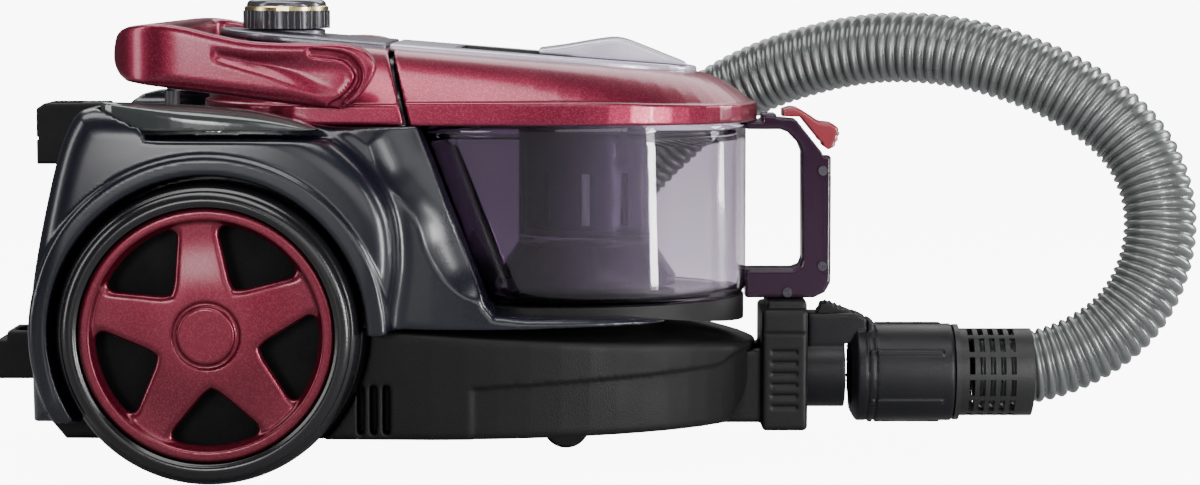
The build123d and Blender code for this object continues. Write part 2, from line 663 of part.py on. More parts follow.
# ---------------------------------------------------------------- bin handle and trigger
with BuildPart() as bin_handle:
    with BuildSketch(Plane.XZ):
        Polygon((126, 83.5), (164, 83.5), (172, 91.5), (172, 164), (156, 184), (134, 184),
                (134, rim_z - 0.4), (126, rim_z - 0.4), align=None)
        handle_corners = vertices().filter_by_position(Axis.X, 160, 180)
        fillet(handle_corners, 4)
        with Locations((0, 0)):
            Polygon((120, 99.5), (156, 99.5), (156, 165), (146, 175), (120, 175), align=None,
                    mode=Mode.SUBTRACT)
    extrude(amount=11, both=True)
    fillet(edges().filter_by(Axis.Z).filter_by_position(Axis.X, 155, 173), 3)
    # channel for the insert, and room under the trigger
    with BuildSketch(Plane.XZ):
        Polygon((167, 96), (173, 96), (173, 150), (167, 150), align=None)
    extrude(amount=6, both=True, mode=Mode.SUBTRACT)
    with BuildSketch(Plane.XZ):
        Polygon((142, 190), (142, 181.9), (152.8, 180.7), (166.8, 163.2), (168, 160.5), (190, 160.5),
                (190, 190), align=None)
    extrude(amount=12, both=True, mode=Mode.SUBTRACT)
    add(bin_loft(-0.05, bin_bottom_z, bin_top_z), mode=Mode.SUBTRACT)
    with Locations(*[Location((x, 11, z), (90, 0, 0)) for x, z in handle_screw_places]):
        Cylinder(1.6, 6, mode=Mode.SUBTRACT)
    with Locations(*[Location((x, -11, z), (90, 0, 0)) for x, z in handle_screw_places]):
        Cylinder(1.6, 6, mode=Mode.SUBTRACT)
finish(bin_handle, "bin_handle")

with BuildPart() as handle_insert:
    with Locations((169.7, 0, 123)):
        Box(5.2, 11.8, 53.8)
finish(handle_insert, "handle_insert")

with BuildPart() as handle_screws:
    for x, z in handle_screw_places:
        for side in (-1, 1):
            with BuildSketch(Plane.XZ.offset(-side * 8.2)):
                with Locations((x, z)):
                    Circle(1.55)
            extrude(amount=-side * 2.9)
            with BuildSketch(Plane.XZ.offset(-side * 11.05)):
                with Locations((x, z)):
                    Circle(2.6)
            extrude(amount=-side * 1.0)
finish(handle_screws, "handle_screws")

# Red trigger over the handle's top corner, turning about its rear end
with BuildPart() as bin_trigger:
    with BuildSketch(Plane.XZ):
        with BuildLine():
            Polyline((145.5, 182.4), (145.5, 186.2), (152, 187.4), (163.6, 180), (174, 178), (176.2, 173.1),
                     (172.6, 165), (170.4, 163.8), (155, 182), (145.5, 182.4))
        make_face()
    extrude(amount=10.5, both=True)
finish(bin_trigger, "bin_trigger")

# ---------------------------------------------------------------- hose inlet

def ring(start_x, end_x, outer, inner):
    """Turned sleeve along the duct's axis."""
    sleeve = Cylinder(outer, end_x - start_x, mode=Mode.PRIVATE)
    if inner:
        sleeve -= Cylinder(inner, end_x - start_x, mode=Mode.PRIVATE)
    return Location(((start_x + end_x) / 2, 0, duct_z), (0, 90, 0)) * sleeve


with BuildPart() as inlet_block:
    with Locations((146.2, 0, 46)):
        Box(24.8, 60, 66)
    with Locations((125.5, 0, 37)):
        Box(25, 52, 38)
    with Locations((125.5, 0, 16.4)):
        Box(17, 52, 6.8)
    with BuildSketch(Plane.XZ):
        Polygon((137, 79), (158.6, 79), (158.6, 81.2), (156.6, 82.6), (140, 82.6), (137, 81), align=None)
    extrude(amount=22, both=True)
    add(ring(100, 170, neck_radius + 0.05, 0), mode=Mode.SUBTRACT)
    add(lower_casing.part, mode=Mode.SUBTRACT)
    add(upper_casing.part, mode=Mode.SUBTRACT)
finish(inlet_block, "inlet_block")

with BuildPart() as hose_connector:
    with BuildSketch(Plane.XZ):
        Polygon(*[(x, duct_z + r) for x, r in (
            (134.5, 16), (134.5, neck_radius), (180.4, neck_radius), (182.5, 23), (187, connector_radius),
            (238.5, connector_radius), (239.6, 25.6), (239.6, 20.4), (190, 20.4), (180, 16))], align=None)
    revolve(axis=Axis((0, 0, duct_z), (1, 0, 0)))
    # housing of the latch on top, with its well
    with Locations((178.3, 0, 66)):
        Box(37.2, 24, 18)
    add(ring(110, 181, 16, 0), mode=Mode.SUBTRACT)
    add(ring(180, 250, 20.4, 0), mode=Mode.SUBTRACT)
    with Locations((175, 0, 72)):
        Box(21, 15, 12.5, mode=Mode.SUBTRACT)
    # lengthwise grip ribs on the body
    with Locations(*[Location((213, 0, duct_z), (angle, 0, 0)) for angle in range(30, 360, 60)]):
        with Locations((0, 0, connector_radius)):
            Box(40, 3, 1.4)
finish(hose_connector, "hose_connector")

with BuildPart() as hose_latch:
    with BuildSketch(Plane.XZ):
        Polygon((165, 70.2), (165, 76), (168, 80.8), (171, 80.8), (184.4, 75.6), (184.4, 70.2), align=None)
    extrude(amount=7, both=True)
finish(hose_latch, "hose_latch")

with BuildPart() as connector_ring:
    add(ring(239.7, 242.5, 26.3, 20.4))
finish(connector_ring, "connector_ring")

with BuildPart() as hose_cuff:
    add(ring(242.6, 282.5, cuff_radius, 21.8))
    # windows in five rows round the cuff
    for row in range(5):
        with Locations((248.5 + 5.6 * row, 0, duct_z)):
            for turn in range(12):
                with Locations(Location((0, 0, 0), (15 + 30 * turn, 0, 0))):
                    with Locations((0, 0, cuff_radius)):
                        Box(3.0, 9.4, 9, mode=Mode.SUBTRACT)
finish(hose_cuff, "hose_cuff")

# ---------------------------------------------------------------- hose
# Up and back over the bin, down behind it, then one turn on the floor behind the body
hose_route = [(252, 0, 41.6), (284.9, 0, 41.8), (325.1, 1, 59.6), (347, 4, 85.2), (356.5, 9, 119),
              (351.5, 16, 151.1), (333.1, 24, 178.2), (294.6, 34, 202.5), (242.7, 52, 218.4),
              (188.7, 76, 217.9), (122, 106, 195), (70, 126, 150), (24, 143, 97), (-28, 160, 48),
              (-98, 174, 20.4), (-212, 184, 20.4), (-290, 258, 20.4), (-294, 370, 20.4), (-216, 450, 20.4),
              (-106, 450, 20.4), (-30, 376, 24), (-20, 290, 34), (-42, 238, 52), (-86, 210, 62),
              (-134, 207, 62.5)]


def hose_radii(points):
    """Corner radii: 0.45 of the shorter run over the tangent of half the turn."""
    radii = []
    for before, corner, after in zip(points, points[1:], points[2:]):
        arriving = Vector(*corner) - Vector(*before)
        leaving = Vector(*after) - Vector(*corner)
        half_turn = math.radians(arriving.get_angle(leaving)) / 2
        radii.append(0.45 * min(arriving.length, leaving.length) / math.tan(half_turn))
    return radii


radii = hose_radii(hose_route)
print("hose radii", [round(r) for r in radii])
with BuildPart() as hose:
    with BuildLine() as hose_path:
        FilletPolyline(*hose_route, radius=radii)
    hose_line = hose_path.wires()[0]
    with BuildSketch(Plane(origin=hose_line @ 0, z_dir=hose_line % 0)):
        Circle(hose_radius)
    sweep()
hose_length = hose_line.length
print("hose length", round(hose_length), "volume ratio",
      round(hose.part.volume / (math.pi * hose_radius ** 2 * hose_length), 4))
finish(hose, "hose")

# Collar and bent handle on the hose's far end, lying on the coil
end_point = hose_line @ 1
end_heading = hose_line % 1
collar_plane = Plane(origin=end_point, z_dir=end_heading, x_dir=(0, 0, 1))
with BuildPart() as hose_collar:
    with BuildSketch(collar_plane.offset(0.1)):
        Circle(22)
    extrude(amount=26)
    chamfer(edges().filter_by(GeomType.CIRCLE), 1.5)
finish(hose_collar, "hose_collar")

grip_bend = 42.0
grip_bend_radius = 110.0
grip_radius = 17.8
grip_end_radius = 17.4         # plain end that goes into a wand
grip_end_length = 45.0
grip_end_root = 2.0            # how far the plain end starts inside the bend
grip_stop_radius = 18.1        # rim that stops the wand, square to the plain end
grip_stop_height = 0.5
with BuildPart() as hose_handle:
    with BuildLine() as grip_path:
        straight = Line(end_point + end_heading * 26.2, end_point + end_heading * 46)
        flat_heading = Vector(end_heading.X, end_heading.Y, 0).normalized()
        bend = JernArc(start=straight @ 1, tangent=flat_heading, radius=grip_bend_radius,
                       arc_size=-grip_bend)
    grip_line = grip_path.wires()[0]
    with BuildSketch(Plane(origin=grip_line @ 0, z_dir=grip_line % 0)):
        Circle(grip_radius)
    sweep()
    with BuildSketch(Plane(origin=grip_line @ 1, z_dir=grip_line % 1).offset(-grip_end_root)):
        Circle(grip_end_radius)
    extrude(amount=grip_end_length + grip_end_root)
    with BuildSketch(Plane(origin=grip_line @ 1, z_dir=grip_line % 1).offset(-grip_end_root)):
        Circle(grip_stop_radius)
    extrude(amount=grip_end_root + grip_stop_height)
finish(hose_handle, "hose_handle")
plain_end_middle = grip_line @ 1 + (grip_line % 1) * (grip_stop_height + grip_end_length) / 2
print("handle end", plain_end_middle, grip_line % 1)
print("slider axis", bend % 0.15)

with BuildPart() as air_slider:
    slider_plane = Plane(origin=bend @ 0.15, x_dir=Vector(bend % 0.15), z_dir=(0, 0, 1))
    with BuildSketch(slider_plane.offset(18.2)):
        RectangleRounded(20, 13, 3)
    extrude(amount=3)
finish(air_slider, "air_slider")

# ---------------------------------------------------------------- works inside the body
motor_axis_plane = Plane(origin=(0, motor_y, motor_z), x_dir=(0, 1, 0), z_dir=(1, 0, 0))
with BuildPart() as motor_housing:
    with BuildSketch(motor_axis_plane.offset(-186)):
        Circle(50)
    extrude(amount=112)
    with BuildSketch(motor_axis_plane.offset(-183)):
        Circle(47)
    extrude(amount=106, mode=Mode.SUBTRACT)
    with BuildSketch(motor_axis_plane.offset(-190)):
        with PolarLocations(34, 8):
            Circle(7)
    extrude(amount=12, mode=Mode.SUBTRACT)
    with BuildSketch(motor_axis_plane.offset(-80)):
        Circle(20)
    extrude(amount=12, mode=Mode.SUBTRACT)
    with Locations((-130, motor_y, 44)):
        Box(60, 40, 41.8)
    with BuildSketch(motor_axis_plane.offset(-183)):
        Circle(47)
    extrude(amount=106, mode=Mode.SUBTRACT)
finish(motor_housing, "motor_housing")

with BuildPart() as motor:
    with BuildSketch(motor_axis_plane.offset(-172)):
        Circle(36)
    extrude(amount=58)
    with BuildSketch(motor_axis_plane.offset(-178)):
        Circle(14)
    extrude(amount=6)
    with BuildSketch(motor_axis_plane.offset(-180)):
        Circle(4 + running)
    extrude(amount=80, mode=Mode.SUBTRACT)
finish(motor, "motor")

with BuildPart() as impeller:
    with BuildSketch(motor_axis_plane.offset(-177)):
        Circle(4)
    extrude(amount=92)
    with BuildSketch(motor_axis_plane.offset(-108)):
        Circle(44)
    extrude(amount=2)
    for blade in range(8):
        with BuildSketch(motor_axis_plane.offset(-106)):
            with Locations(Location((0, 0, 0), 45 * blade)):
                with Locations((25, 4)):
                    Rectangle(36, 1.6, rotation=22)
        extrude(amount=16)
    with BuildSketch(motor_axis_plane.offset(-106)):
        Circle(9)
    extrude(amount=20)
finish(impeller, "impeller")

reel_plane = Plane(origin=(reel_x, reel_y, 100), x_dir=(1, 0, 0), z_dir=(0, 1, 0))
with BuildPart() as cord_reel:
    with BuildSketch(reel_plane.offset(-24)):
        Circle(58)
        Circle(6 + running, mode=Mode.SUBTRACT)
    extrude(amount=2.5)
    with BuildSketch(reel_plane.offset(-21.5)):
        Circle(28)
        Circle(6 + running, mode=Mode.SUBTRACT)
    extrude(amount=43)
    with BuildSketch(reel_plane.offset(21.5)):
        Circle(58)
        Circle(6 + running, mode=Mode.SUBTRACT)
    extrude(amount=2.5)
finish(cord_reel, "cord_reel")

with BuildPart() as reel_axle:
    with BuildSketch(reel_plane.offset(-30)):
        Circle(6)
    extrude(amount=60)
    with BuildSketch(reel_plane.offset(-30)):
        Circle(12)
    extrude(amount=4)
    with Locations((reel_x, reel_y - 28, 57)):
        Box(24, 4, 67.9)
finish(reel_axle, "reel_axle")

with BuildPart() as pre_filter:
    with Locations((-66, 0, 140)):
        Box(10, 110, 60)
finish(pre_filter, "pre_filter")

with BuildPart() as exhaust_filter:
    with Locations((-229, 0, 54)):
        Box(12, 150, 46)
    add(lower_casing.part, mode=Mode.SUBTRACT)
finish(exhaust_filter, "exhaust_filter")

with BuildPart() as control_board:
    with Locations((knob_x, 0, 198)):
        Box(60, 44, 2)
    with Locations((knob_x, 0, 199)):
        Cylinder(4 + running, 4, mode=Mode.SUBTRACT)
finish(control_board, "control_board")
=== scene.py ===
import math

import bmesh
import bpy
import numpy as np
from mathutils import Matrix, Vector


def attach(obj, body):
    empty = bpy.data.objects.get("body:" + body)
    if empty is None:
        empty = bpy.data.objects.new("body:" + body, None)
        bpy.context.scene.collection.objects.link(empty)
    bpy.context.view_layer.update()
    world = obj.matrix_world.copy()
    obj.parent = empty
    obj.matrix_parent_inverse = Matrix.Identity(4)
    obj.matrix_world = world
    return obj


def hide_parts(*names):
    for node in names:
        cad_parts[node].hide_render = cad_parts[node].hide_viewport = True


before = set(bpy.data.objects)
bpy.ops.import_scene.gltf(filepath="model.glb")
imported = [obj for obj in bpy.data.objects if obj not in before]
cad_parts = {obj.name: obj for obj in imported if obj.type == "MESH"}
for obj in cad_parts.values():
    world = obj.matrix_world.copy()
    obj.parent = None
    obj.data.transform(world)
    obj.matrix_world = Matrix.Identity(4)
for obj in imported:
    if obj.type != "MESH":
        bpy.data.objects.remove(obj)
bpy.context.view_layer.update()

MM = 0.001

# Places shared by several pieces, in millimetres in the frame
WHEEL_X, WHEEL_Z = -152.5, 77.75
KNOB_X = -124.3
DUCT_Z = 41.6
TOP_Z, TOP_SLOPE = 215.3, 0.0805
SEAM_LOW, SEAM_HIGH = (-52.5, 178.0), (-65.5, 226.0)
PANEL_SEAM_X = SEAM_HIGH[0]      # the seam's place at the panels' height
PEDAL_Y = 121.0
GRID_SHIFT = 0.37                # share of a step that keeps flat faces off the grid

# Floor and surround: how far the floor reaches in millimetres, and how brightly each kind of ray sees them
FLOOR_REACH = 20000
GLOW, GLOW_THROUGH, SURROUND_GLOW = 9.0, 1.3, 0.08


# ------------------------------------------------------------------ camera
def make_camera():
    """Camera at azimuth 0 and elevation 5, looking at the middle of the view."""
    data = bpy.data.cameras.new("camera")
    data.lens, data.sensor_width = 93.07, 36.0
    camera = bpy.data.objects.new("camera", data)
    bpy.context.scene.collection.objects.link(camera)
    camera.location = (0.0463, -1.6935, 0.2611)
    aim = Vector((0.0463, 0.0, 0.1129)) - camera.location
    camera.rotation_mode = "QUATERNION"
    camera.rotation_quaternion = aim.to_track_quat("-Z", "Y")
    data.clip_start, data.clip_end = 0.05, 50.0
    bpy.context.scene.camera = camera


make_camera()


# ------------------------------------------------------------------ mesh tools
def mesh_piece(name, points, faces, material=None, smooth=True):
    """Mesh object from points in millimetres and faces of point numbers."""
    data = bpy.data.meshes.new(name)
    points = np.asarray(points, float) * MM
    data.from_pydata([tuple(p) for p in points], [], [tuple(f) for f in faces])
    data.validate()
    data.polygons.foreach_set("use_smooth", [smooth] * len(data.polygons))
    data.update()
    made = bpy.data.objects.new(name, data)
    bpy.context.scene.collection.objects.link(made)
    if material:
        data.materials.append(material)
    return made


def smooth_curve(points, closed=False, share=8):
    """Catmull-Rom curve through points, as an array."""
    p = np.asarray(points, float)
    n = len(p)
    spans = n if closed else n - 1
    t = np.linspace(0, 1, share, endpoint=False)[:, None]
    out = []
    for i in range(spans):
        if closed:
            a, b, c, d = p[i - 1], p[i], p[(i + 1) % n], p[(i + 2) % n]
        else:
            a, b, c, d = p[max(i - 1, 0)], p[i], p[i + 1], p[min(i + 2, n - 1)]
        out.append(0.5 * (2 * b + (c - a) * t + (2 * a - 5 * b + 4 * c - d) * t ** 2
                          + (3 * b - a - 3 * c + d) * t ** 3))
    if not closed:
        out.append(p[-1:])
    return np.concatenate(out)


def outline(points):
    """Signed distance from a closed outline in a plane, negative inside."""
    p = np.asarray(points, float)

    def distance(u, v):
        shape = np.broadcast(u, v).shape
        nearest, sign = np.full(shape, 1e12), np.ones(shape)
        for i in range(len(p)):
            ex, ey = p[i - 1] - p[i]
            wx, wy = u - p[i][0], v - p[i][1]
            t = np.clip((wx * ex + wy * ey) / (ex * ex + ey * ey + 1e-12), 0, 1)
            nearest = np.minimum(nearest, (wx - ex * t) ** 2 + (wy - ey * t) ** 2)
            above, below = v >= p[i][1], v < p[i - 1][1]
            left = ex * wy > ey * wx
            sign = np.where((above & below & left) | (~above & ~below & ~left), -sign, sign)
        return sign * np.sqrt(nearest)
    return distance


def path_distance(points):
    """Distance from an open line in a plane."""
    p = np.asarray(points, float)

    def distance(u, v):
        nearest = np.full(np.broadcast(u, v).shape, 1e12)
        for a, b in zip(p, p[1:]):
            ex, ey = b - a
            t = np.clip(((u - a[0]) * ex + (v - a[1]) * ey) / (ex * ex + ey * ey), 0, 1)
            nearest = np.minimum(nearest, (u - a[0] - ex * t) ** 2 + (v - a[1] - ey * t) ** 2)
        return np.sqrt(nearest)
    return distance


def both(a, b, round_by=0.0):
    """Overlap of two fields, with the edge between them rounded."""
    if not round_by:
        return np.maximum(a, b)
    h = np.maximum(round_by - np.abs(a - b), 0) / round_by
    return np.maximum(a, b) + h * h * round_by * 0.25


def either(a, b, round_by=0.0):
    """Union of two fields, with a fillet between them."""
    return -both(-a, -b, round_by)


def ease(t):
    """Smooth step from 0 to 1."""
    t = np.clip(t, 0, 1)
    return t * t * (3 - 2 * t)


def box_field(x, y, z, centre, half, round_by=1.0):
    """Box with rounded edges."""
    d = [np.abs(v - c) - (h - round_by) for v, c, h in zip((x, y, z), centre, half)]
    outside = np.sqrt(sum(np.maximum(v, 0) ** 2 for v in d))
    return outside + np.minimum(np.maximum(np.maximum(d[0], d[1]), d[2]), 0) - round_by


def skin(name, field, low, high, step, material=None, slope_down=0.0):
    """Mesh of the surface where a field crosses zero, its points pulled onto the surface.
    The grid can lean with the sloping top, so that a face along the slope comes out even."""
    low = [a - GRID_SHIFT * step for a in low]
    axes = [np.arange(a, b + step, step) for a, b in zip(low, high)]
    grid = np.meshgrid(*axes, indexing="ij", sparse=True)
    values = np.broadcast_to(field(grid[0], grid[1], grid[2] - slope_down * grid[0]), [len(a) for a in axes])
    cells = np.array(values.shape) - 1
    total, count, quads = np.zeros((3, cells.prod())), np.zeros(cells.prod()), []
    for axis in range(3):
        first, second = [slice(None)] * 3, [slice(None)] * 3
        first[axis], second[axis] = slice(0, -1), slice(1, None)
        f0, f1 = values[tuple(first)], values[tuple(second)]
        hit = (f0 < 0) != (f1 < 0)
        at = np.argwhere(hit)
        v0, v1 = f0[hit], f1[hit]
        point = at.astype(float)
        point[:, axis] += v0 / (v0 - v1)
        b, c = (axis + 1) % 3, (axis + 2) % 3
        corners = []
        for db, dc in ((0, 0), (-1, 0), (-1, -1), (0, -1)):
            cell = at.copy()
            cell[:, b] += db
            cell[:, c] += dc
            ok = ((cell >= 0) & (cell < cells)).all(1)
            flat = np.ravel_multi_index(np.clip(cell, 0, cells - 1).T, cells)
            corners.append(np.where(ok, flat, -1))
            for k in range(3):
                total[k] += np.bincount(flat[ok], point[ok, k], minlength=len(count))
            count += np.bincount(flat[ok], minlength=len(count))
        quad = np.stack(corners, 1)
        quad[v0 > 0] = quad[v0 > 0][:, ::-1]
        quads.append(quad[(quad >= 0).all(1)])
    quads = np.concatenate(quads)
    used, faces = np.unique(quads, return_inverse=True)
    faces = faces.reshape(quads.shape)
    points = (total[:, used] / count[used]).T * step + np.array(low, float)
    points[:, 2] -= slope_down * points[:, 0]
    h = 0.04
    for _ in range(2):
        value = field(*points.T)
        slope = np.stack([(field(*(points + o).T) - field(*(points - o).T)) / (2 * h)
                          for o in np.eye(3) * h], 1)
        move = (value / ((slope ** 2).sum(1) + 1e-4))[:, None] * slope
        far = np.linalg.norm(move, axis=1, keepdims=True)
        points = points - move * np.minimum(1, 0.6 * step / (far + 1e-9))
    return mesh_piece(name, points, faces, material)


def rings_piece(name, rings, material=None, closed=True, cap=False, loop=False):
    """Skin over a list of rings that have the same number of points."""
    rings = [np.asarray(r, float) for r in rings]
    n = len(rings[0])
    faces = []
    pairs = list(range(len(rings) - 1)) + ([len(rings) - 1] if loop else [])
    for i in pairs:
        j = (i + 1) % len(rings)
        for k in range(n if closed else n - 1):
            m = (k + 1) % n
            faces.append((i * n + k, i * n + m, j * n + m, j * n + k))
    if cap:
        faces.append(tuple(range(n))[::-1])
        faces.append(tuple((len(rings) - 1) * n + k for k in range(n)))
    return mesh_piece(name, np.concatenate(rings), faces, material)


def turned_piece(name, profile, centre, axis, material=None, steps=144, loop=True):
    """Piece turned about an axis: profile points are (along the axis, radius)."""
    turn = np.linspace(0, 2 * math.pi, steps, endpoint=False)
    rings = []
    for along, radius in profile:
        c, s = radius * np.cos(turn), radius * np.sin(turn)
        ring = {"x": (along + 0 * c, c, s), "y": (c, along + 0 * c, s), "z": (c, s, along + 0 * c)}[axis]
        rings.append(np.stack(ring, 1) + np.array(centre, float))
    made = rings_piece(name, rings, material, loop=loop)
    bpy.context.view_layer.objects.active = made
    outward(made)
    return made


def outward(piece):
    """Turn a closed piece's faces to the outside."""
    shape = bmesh.new()
    shape.from_mesh(piece.data)
    bmesh.ops.recalc_face_normals(shape, faces=shape.faces)
    shape.to_mesh(piece.data)
    shape.free()


# ------------------------------------------------------------------ materials
def new_group(name, inputs, outputs):
    """Shader node group with its sockets; returns the tree, its input node and its output node."""
    tree = bpy.data.node_groups.new(name, "ShaderNodeTree")
    for label, kind, value in inputs:
        socket = tree.interface.new_socket(name=label, in_out="INPUT", socket_type=kind)
        socket.default_value = value
    for label, kind in outputs:
        tree.interface.new_socket(name=label, in_out="OUTPUT", socket_type=kind)
    return tree, tree.nodes.new("NodeGroupInput"), tree.nodes.new("NodeGroupOutput")


def noise(tree, scale, detail=2.0, stretch=None):
    """Noise texture on the object's own coordinates."""
    place = tree.nodes.new("ShaderNodeTexCoord")
    node = tree.nodes.new("ShaderNodeTexNoise")
    node.inputs["Scale"].default_value = scale
    node.inputs["Detail"].default_value = detail
    if stretch:
        mapping = tree.nodes.new("ShaderNodeMapping")
        mapping.inputs["Scale"].default_value = stretch
        tree.links.new(place.outputs["Object"], mapping.inputs["Vector"])
        tree.links.new(mapping.outputs["Vector"], node.inputs["Vector"])
    else:
        tree.links.new(place.outputs["Object"], node.inputs["Vector"])
    return node


def spread(tree, value, low, high, to_low=0.0, to_high=1.0):
    """Map a value's range to another range."""
    node = tree.nodes.new("ShaderNodeMapRange")
    node.inputs["From Min"].default_value = low
    node.inputs["From Max"].default_value = high
    node.inputs["To Min"].default_value = to_low
    node.inputs["To Max"].default_value = to_high
    tree.links.new(value, node.inputs["Value"])
    return node.outputs["Result"]


def mix_colour(tree, share, a, b):
    """Mix of two colours; a and b are sockets or colours."""
    node = tree.nodes.new("ShaderNodeMix")
    node.data_type = "RGBA"
    for value, socket in ((share, node.inputs[0]), (a, node.inputs[6]), (b, node.inputs[7])):
        if isinstance(value, (int, float)) or isinstance(value, tuple):
            socket.default_value = value
        else:
            tree.links.new(value, socket)
    return node.outputs[2]


def add_values(tree, a, b, kind="ADD"):
    """Sum or another operation of two values."""
    node = tree.nodes.new("ShaderNodeMath")
    node.operation = kind
    for value, socket in ((a, node.inputs[0]), (b, node.inputs[1])):
        if isinstance(value, (int, float)):
            socket.default_value = value
        else:
            tree.links.new(value, socket)
    return node.outputs[0]


def make_flake_paint():
    """Metallic paint: bright flakes, slow colour drift, worn edges and a fine orange peel."""
    tree, start, end = new_group(
        "flake_paint",
        [("Colour", "NodeSocketColor", (0.3, 0.02, 0.05, 1)),
         ("Flake", "NodeSocketColor", (0.8, 0.2, 0.3, 1)),
         ("Flake amount", "NodeSocketFloat", 0.5), ("Roughness", "NodeSocketFloat", 0.3)],
        [("Colour", "NodeSocketColor"), ("Roughness", "NodeSocketFloat"), ("Normal", "NodeSocketVector")])
    cells = tree.nodes.new("ShaderNodeTexVoronoi")
    cells.inputs["Scale"].default_value = 1900
    place = tree.nodes.new("ShaderNodeTexCoord")
    tree.links.new(place.outputs["Object"], cells.inputs["Vector"])
    parts = tree.nodes.new("ShaderNodeSeparateColor")
    tree.links.new(cells.outputs["Color"], parts.inputs[0])
    sparkle = spread(tree, parts.outputs[0], 0.55, 1.0)
    share = add_values(tree, sparkle, start.outputs["Flake amount"], "MULTIPLY")
    drift = spread(tree, noise(tree, 9, 3).outputs[0], 0.35, 0.65, 0.86, 1.12)
    toned = tree.nodes.new("ShaderNodeHueSaturation")
    tree.links.new(start.outputs["Colour"], toned.inputs["Color"])
    tree.links.new(drift, toned.inputs["Value"])
    painted = mix_colour(tree, share, toned.outputs[0], start.outputs["Flake"])
    shape = tree.nodes.new("ShaderNodeNewGeometry")
    edge = spread(tree, shape.outputs["Pointiness"], 0.53, 0.60, 0.0, 0.35)
    worn = mix_colour(tree, edge, painted, start.outputs["Flake"])
    tree.links.new(worn, end.inputs["Colour"])
    smears = spread(tree, noise(tree, 30, 4, (1, 1, 0.25)).outputs[0], 0.4, 0.7, 0.0, 0.06)
    tree.links.new(add_values(tree, start.outputs["Roughness"], smears), end.inputs["Roughness"])
    bump = tree.nodes.new("ShaderNodeBump")
    bump.inputs["Strength"].default_value = 0.045
    bump.inputs["Distance"].default_value = 0.0006
    tree.links.new(parts.outputs[1], bump.inputs["Height"])
    peel = tree.nodes.new("ShaderNodeBump")
    peel.inputs["Strength"].default_value = 0.02
    peel.inputs["Distance"].default_value = 0.001
    tree.links.new(noise(tree, 260, 2).outputs[0], peel.inputs["Height"])
    tree.links.new(bump.outputs[0], peel.inputs["Normal"])
    tree.links.new(peel.outputs[0], end.inputs["Normal"])
    return tree


def make_moulded_grain():
    """Moulded plastic: fine spark-eroded grain, faint patchy dust and rubbed edges."""
    tree, start, end = new_group(
        "moulded_grain",
        [("Colour", "NodeSocketColor", (0.02, 0.02, 0.02, 1)),
         ("Worn colour", "NodeSocketColor", (0.1, 0.1, 0.1, 1)),
         ("Roughness", "NodeSocketFloat", 0.5), ("Grain size", "NodeSocketFloat", 1400.0),
         ("Grain depth", "NodeSocketFloat", 0.25)],
        [("Colour", "NodeSocketColor"), ("Roughness", "NodeSocketFloat"), ("Normal", "NodeSocketVector")])
    grain = noise(tree, 1400, 3)
    tree.links.new(start.outputs["Grain size"], grain.inputs["Scale"])
    cloud = spread(tree, noise(tree, 14, 4).outputs[0], 0.35, 0.7)
    clouded = mix_colour(tree, add_values(tree, cloud, 0.10, "MULTIPLY"),
                         start.outputs["Colour"], start.outputs["Worn colour"])
    shape = tree.nodes.new("ShaderNodeNewGeometry")
    rub = spread(tree, shape.outputs["Pointiness"], 0.52, 0.60, 0.0, 0.5)
    tree.links.new(mix_colour(tree, rub, clouded, start.outputs["Worn colour"]), end.inputs["Colour"])
    rough = spread(tree, noise(tree, 45, 4).outputs[0], 0.3, 0.7, -0.05, 0.07)
    fine = spread(tree, grain.outputs[0], 0.3, 0.7, -0.04, 0.04)
    total = add_values(tree, add_values(tree, start.outputs["Roughness"], rough), fine)
    tree.links.new(total, end.inputs["Roughness"])
    bump = tree.nodes.new("ShaderNodeBump")
    bump.inputs["Distance"].default_value = 0.0004
    tree.links.new(start.outputs["Grain depth"], bump.inputs["Strength"])
    tree.links.new(grain.outputs[0], bump.inputs["Height"])
    tree.links.new(bump.outputs[0], end.inputs["Normal"])
    return tree


def make_gloss_haze():
    """Polished surface: faint haze, hairline scratches and a soft waviness."""
    tree, start, end = new_group(
        "gloss_haze",
        [("Colour", "NodeSocketColor", (0.02, 0.02, 0.03, 1)),
         ("Tint", "NodeSocketColor", (0.05, 0.05, 0.08, 1)),
         ("Roughness", "NodeSocketFloat", 0.1)],
        [("Colour", "NodeSocketColor"), ("Roughness", "NodeSocketFloat"), ("Normal", "NodeSocketVector"),
         ("Specks", "NodeSocketFloat")])
    cloud = spread(tree, noise(tree, 7, 3).outputs[0], 0.35, 0.68)
    specks = spread(tree, noise(tree, 900, 1).outputs[0], 0.66, 0.74)
    tinted = mix_colour(tree, cloud, start.outputs["Colour"], start.outputs["Tint"])
    tree.links.new(mix_colour(tree, add_values(tree, specks, 0.025, "MULTIPLY"), tinted,
                              (0.3, 0.3, 0.34, 1)),
                   end.inputs["Colour"])
    scratches = spread(tree, noise(tree, 60, 2, (1, 14, 26)).outputs[0], 0.62, 0.75, 0.0, 0.05)
    haze = spread(tree, noise(tree, 24, 4).outputs[0], 0.35, 0.7, 0.0, 0.05)
    total = add_values(tree, add_values(tree, start.outputs["Roughness"], scratches), haze)
    tree.links.new(total, end.inputs["Roughness"])
    bump = tree.nodes.new("ShaderNodeBump")
    bump.inputs["Strength"].default_value = 0.03
    bump.inputs["Distance"].default_value = 0.001
    tree.links.new(noise(tree, 110, 2).outputs[0], bump.inputs["Height"])
    tree.links.new(bump.outputs[0], end.inputs["Normal"])
    tree.links.new(specks, end.inputs["Specks"])
    return tree


FLAKE_PAINT, MOULDED_GRAIN, GLOSS_HAZE = make_flake_paint(), make_moulded_grain(), make_gloss_haze()


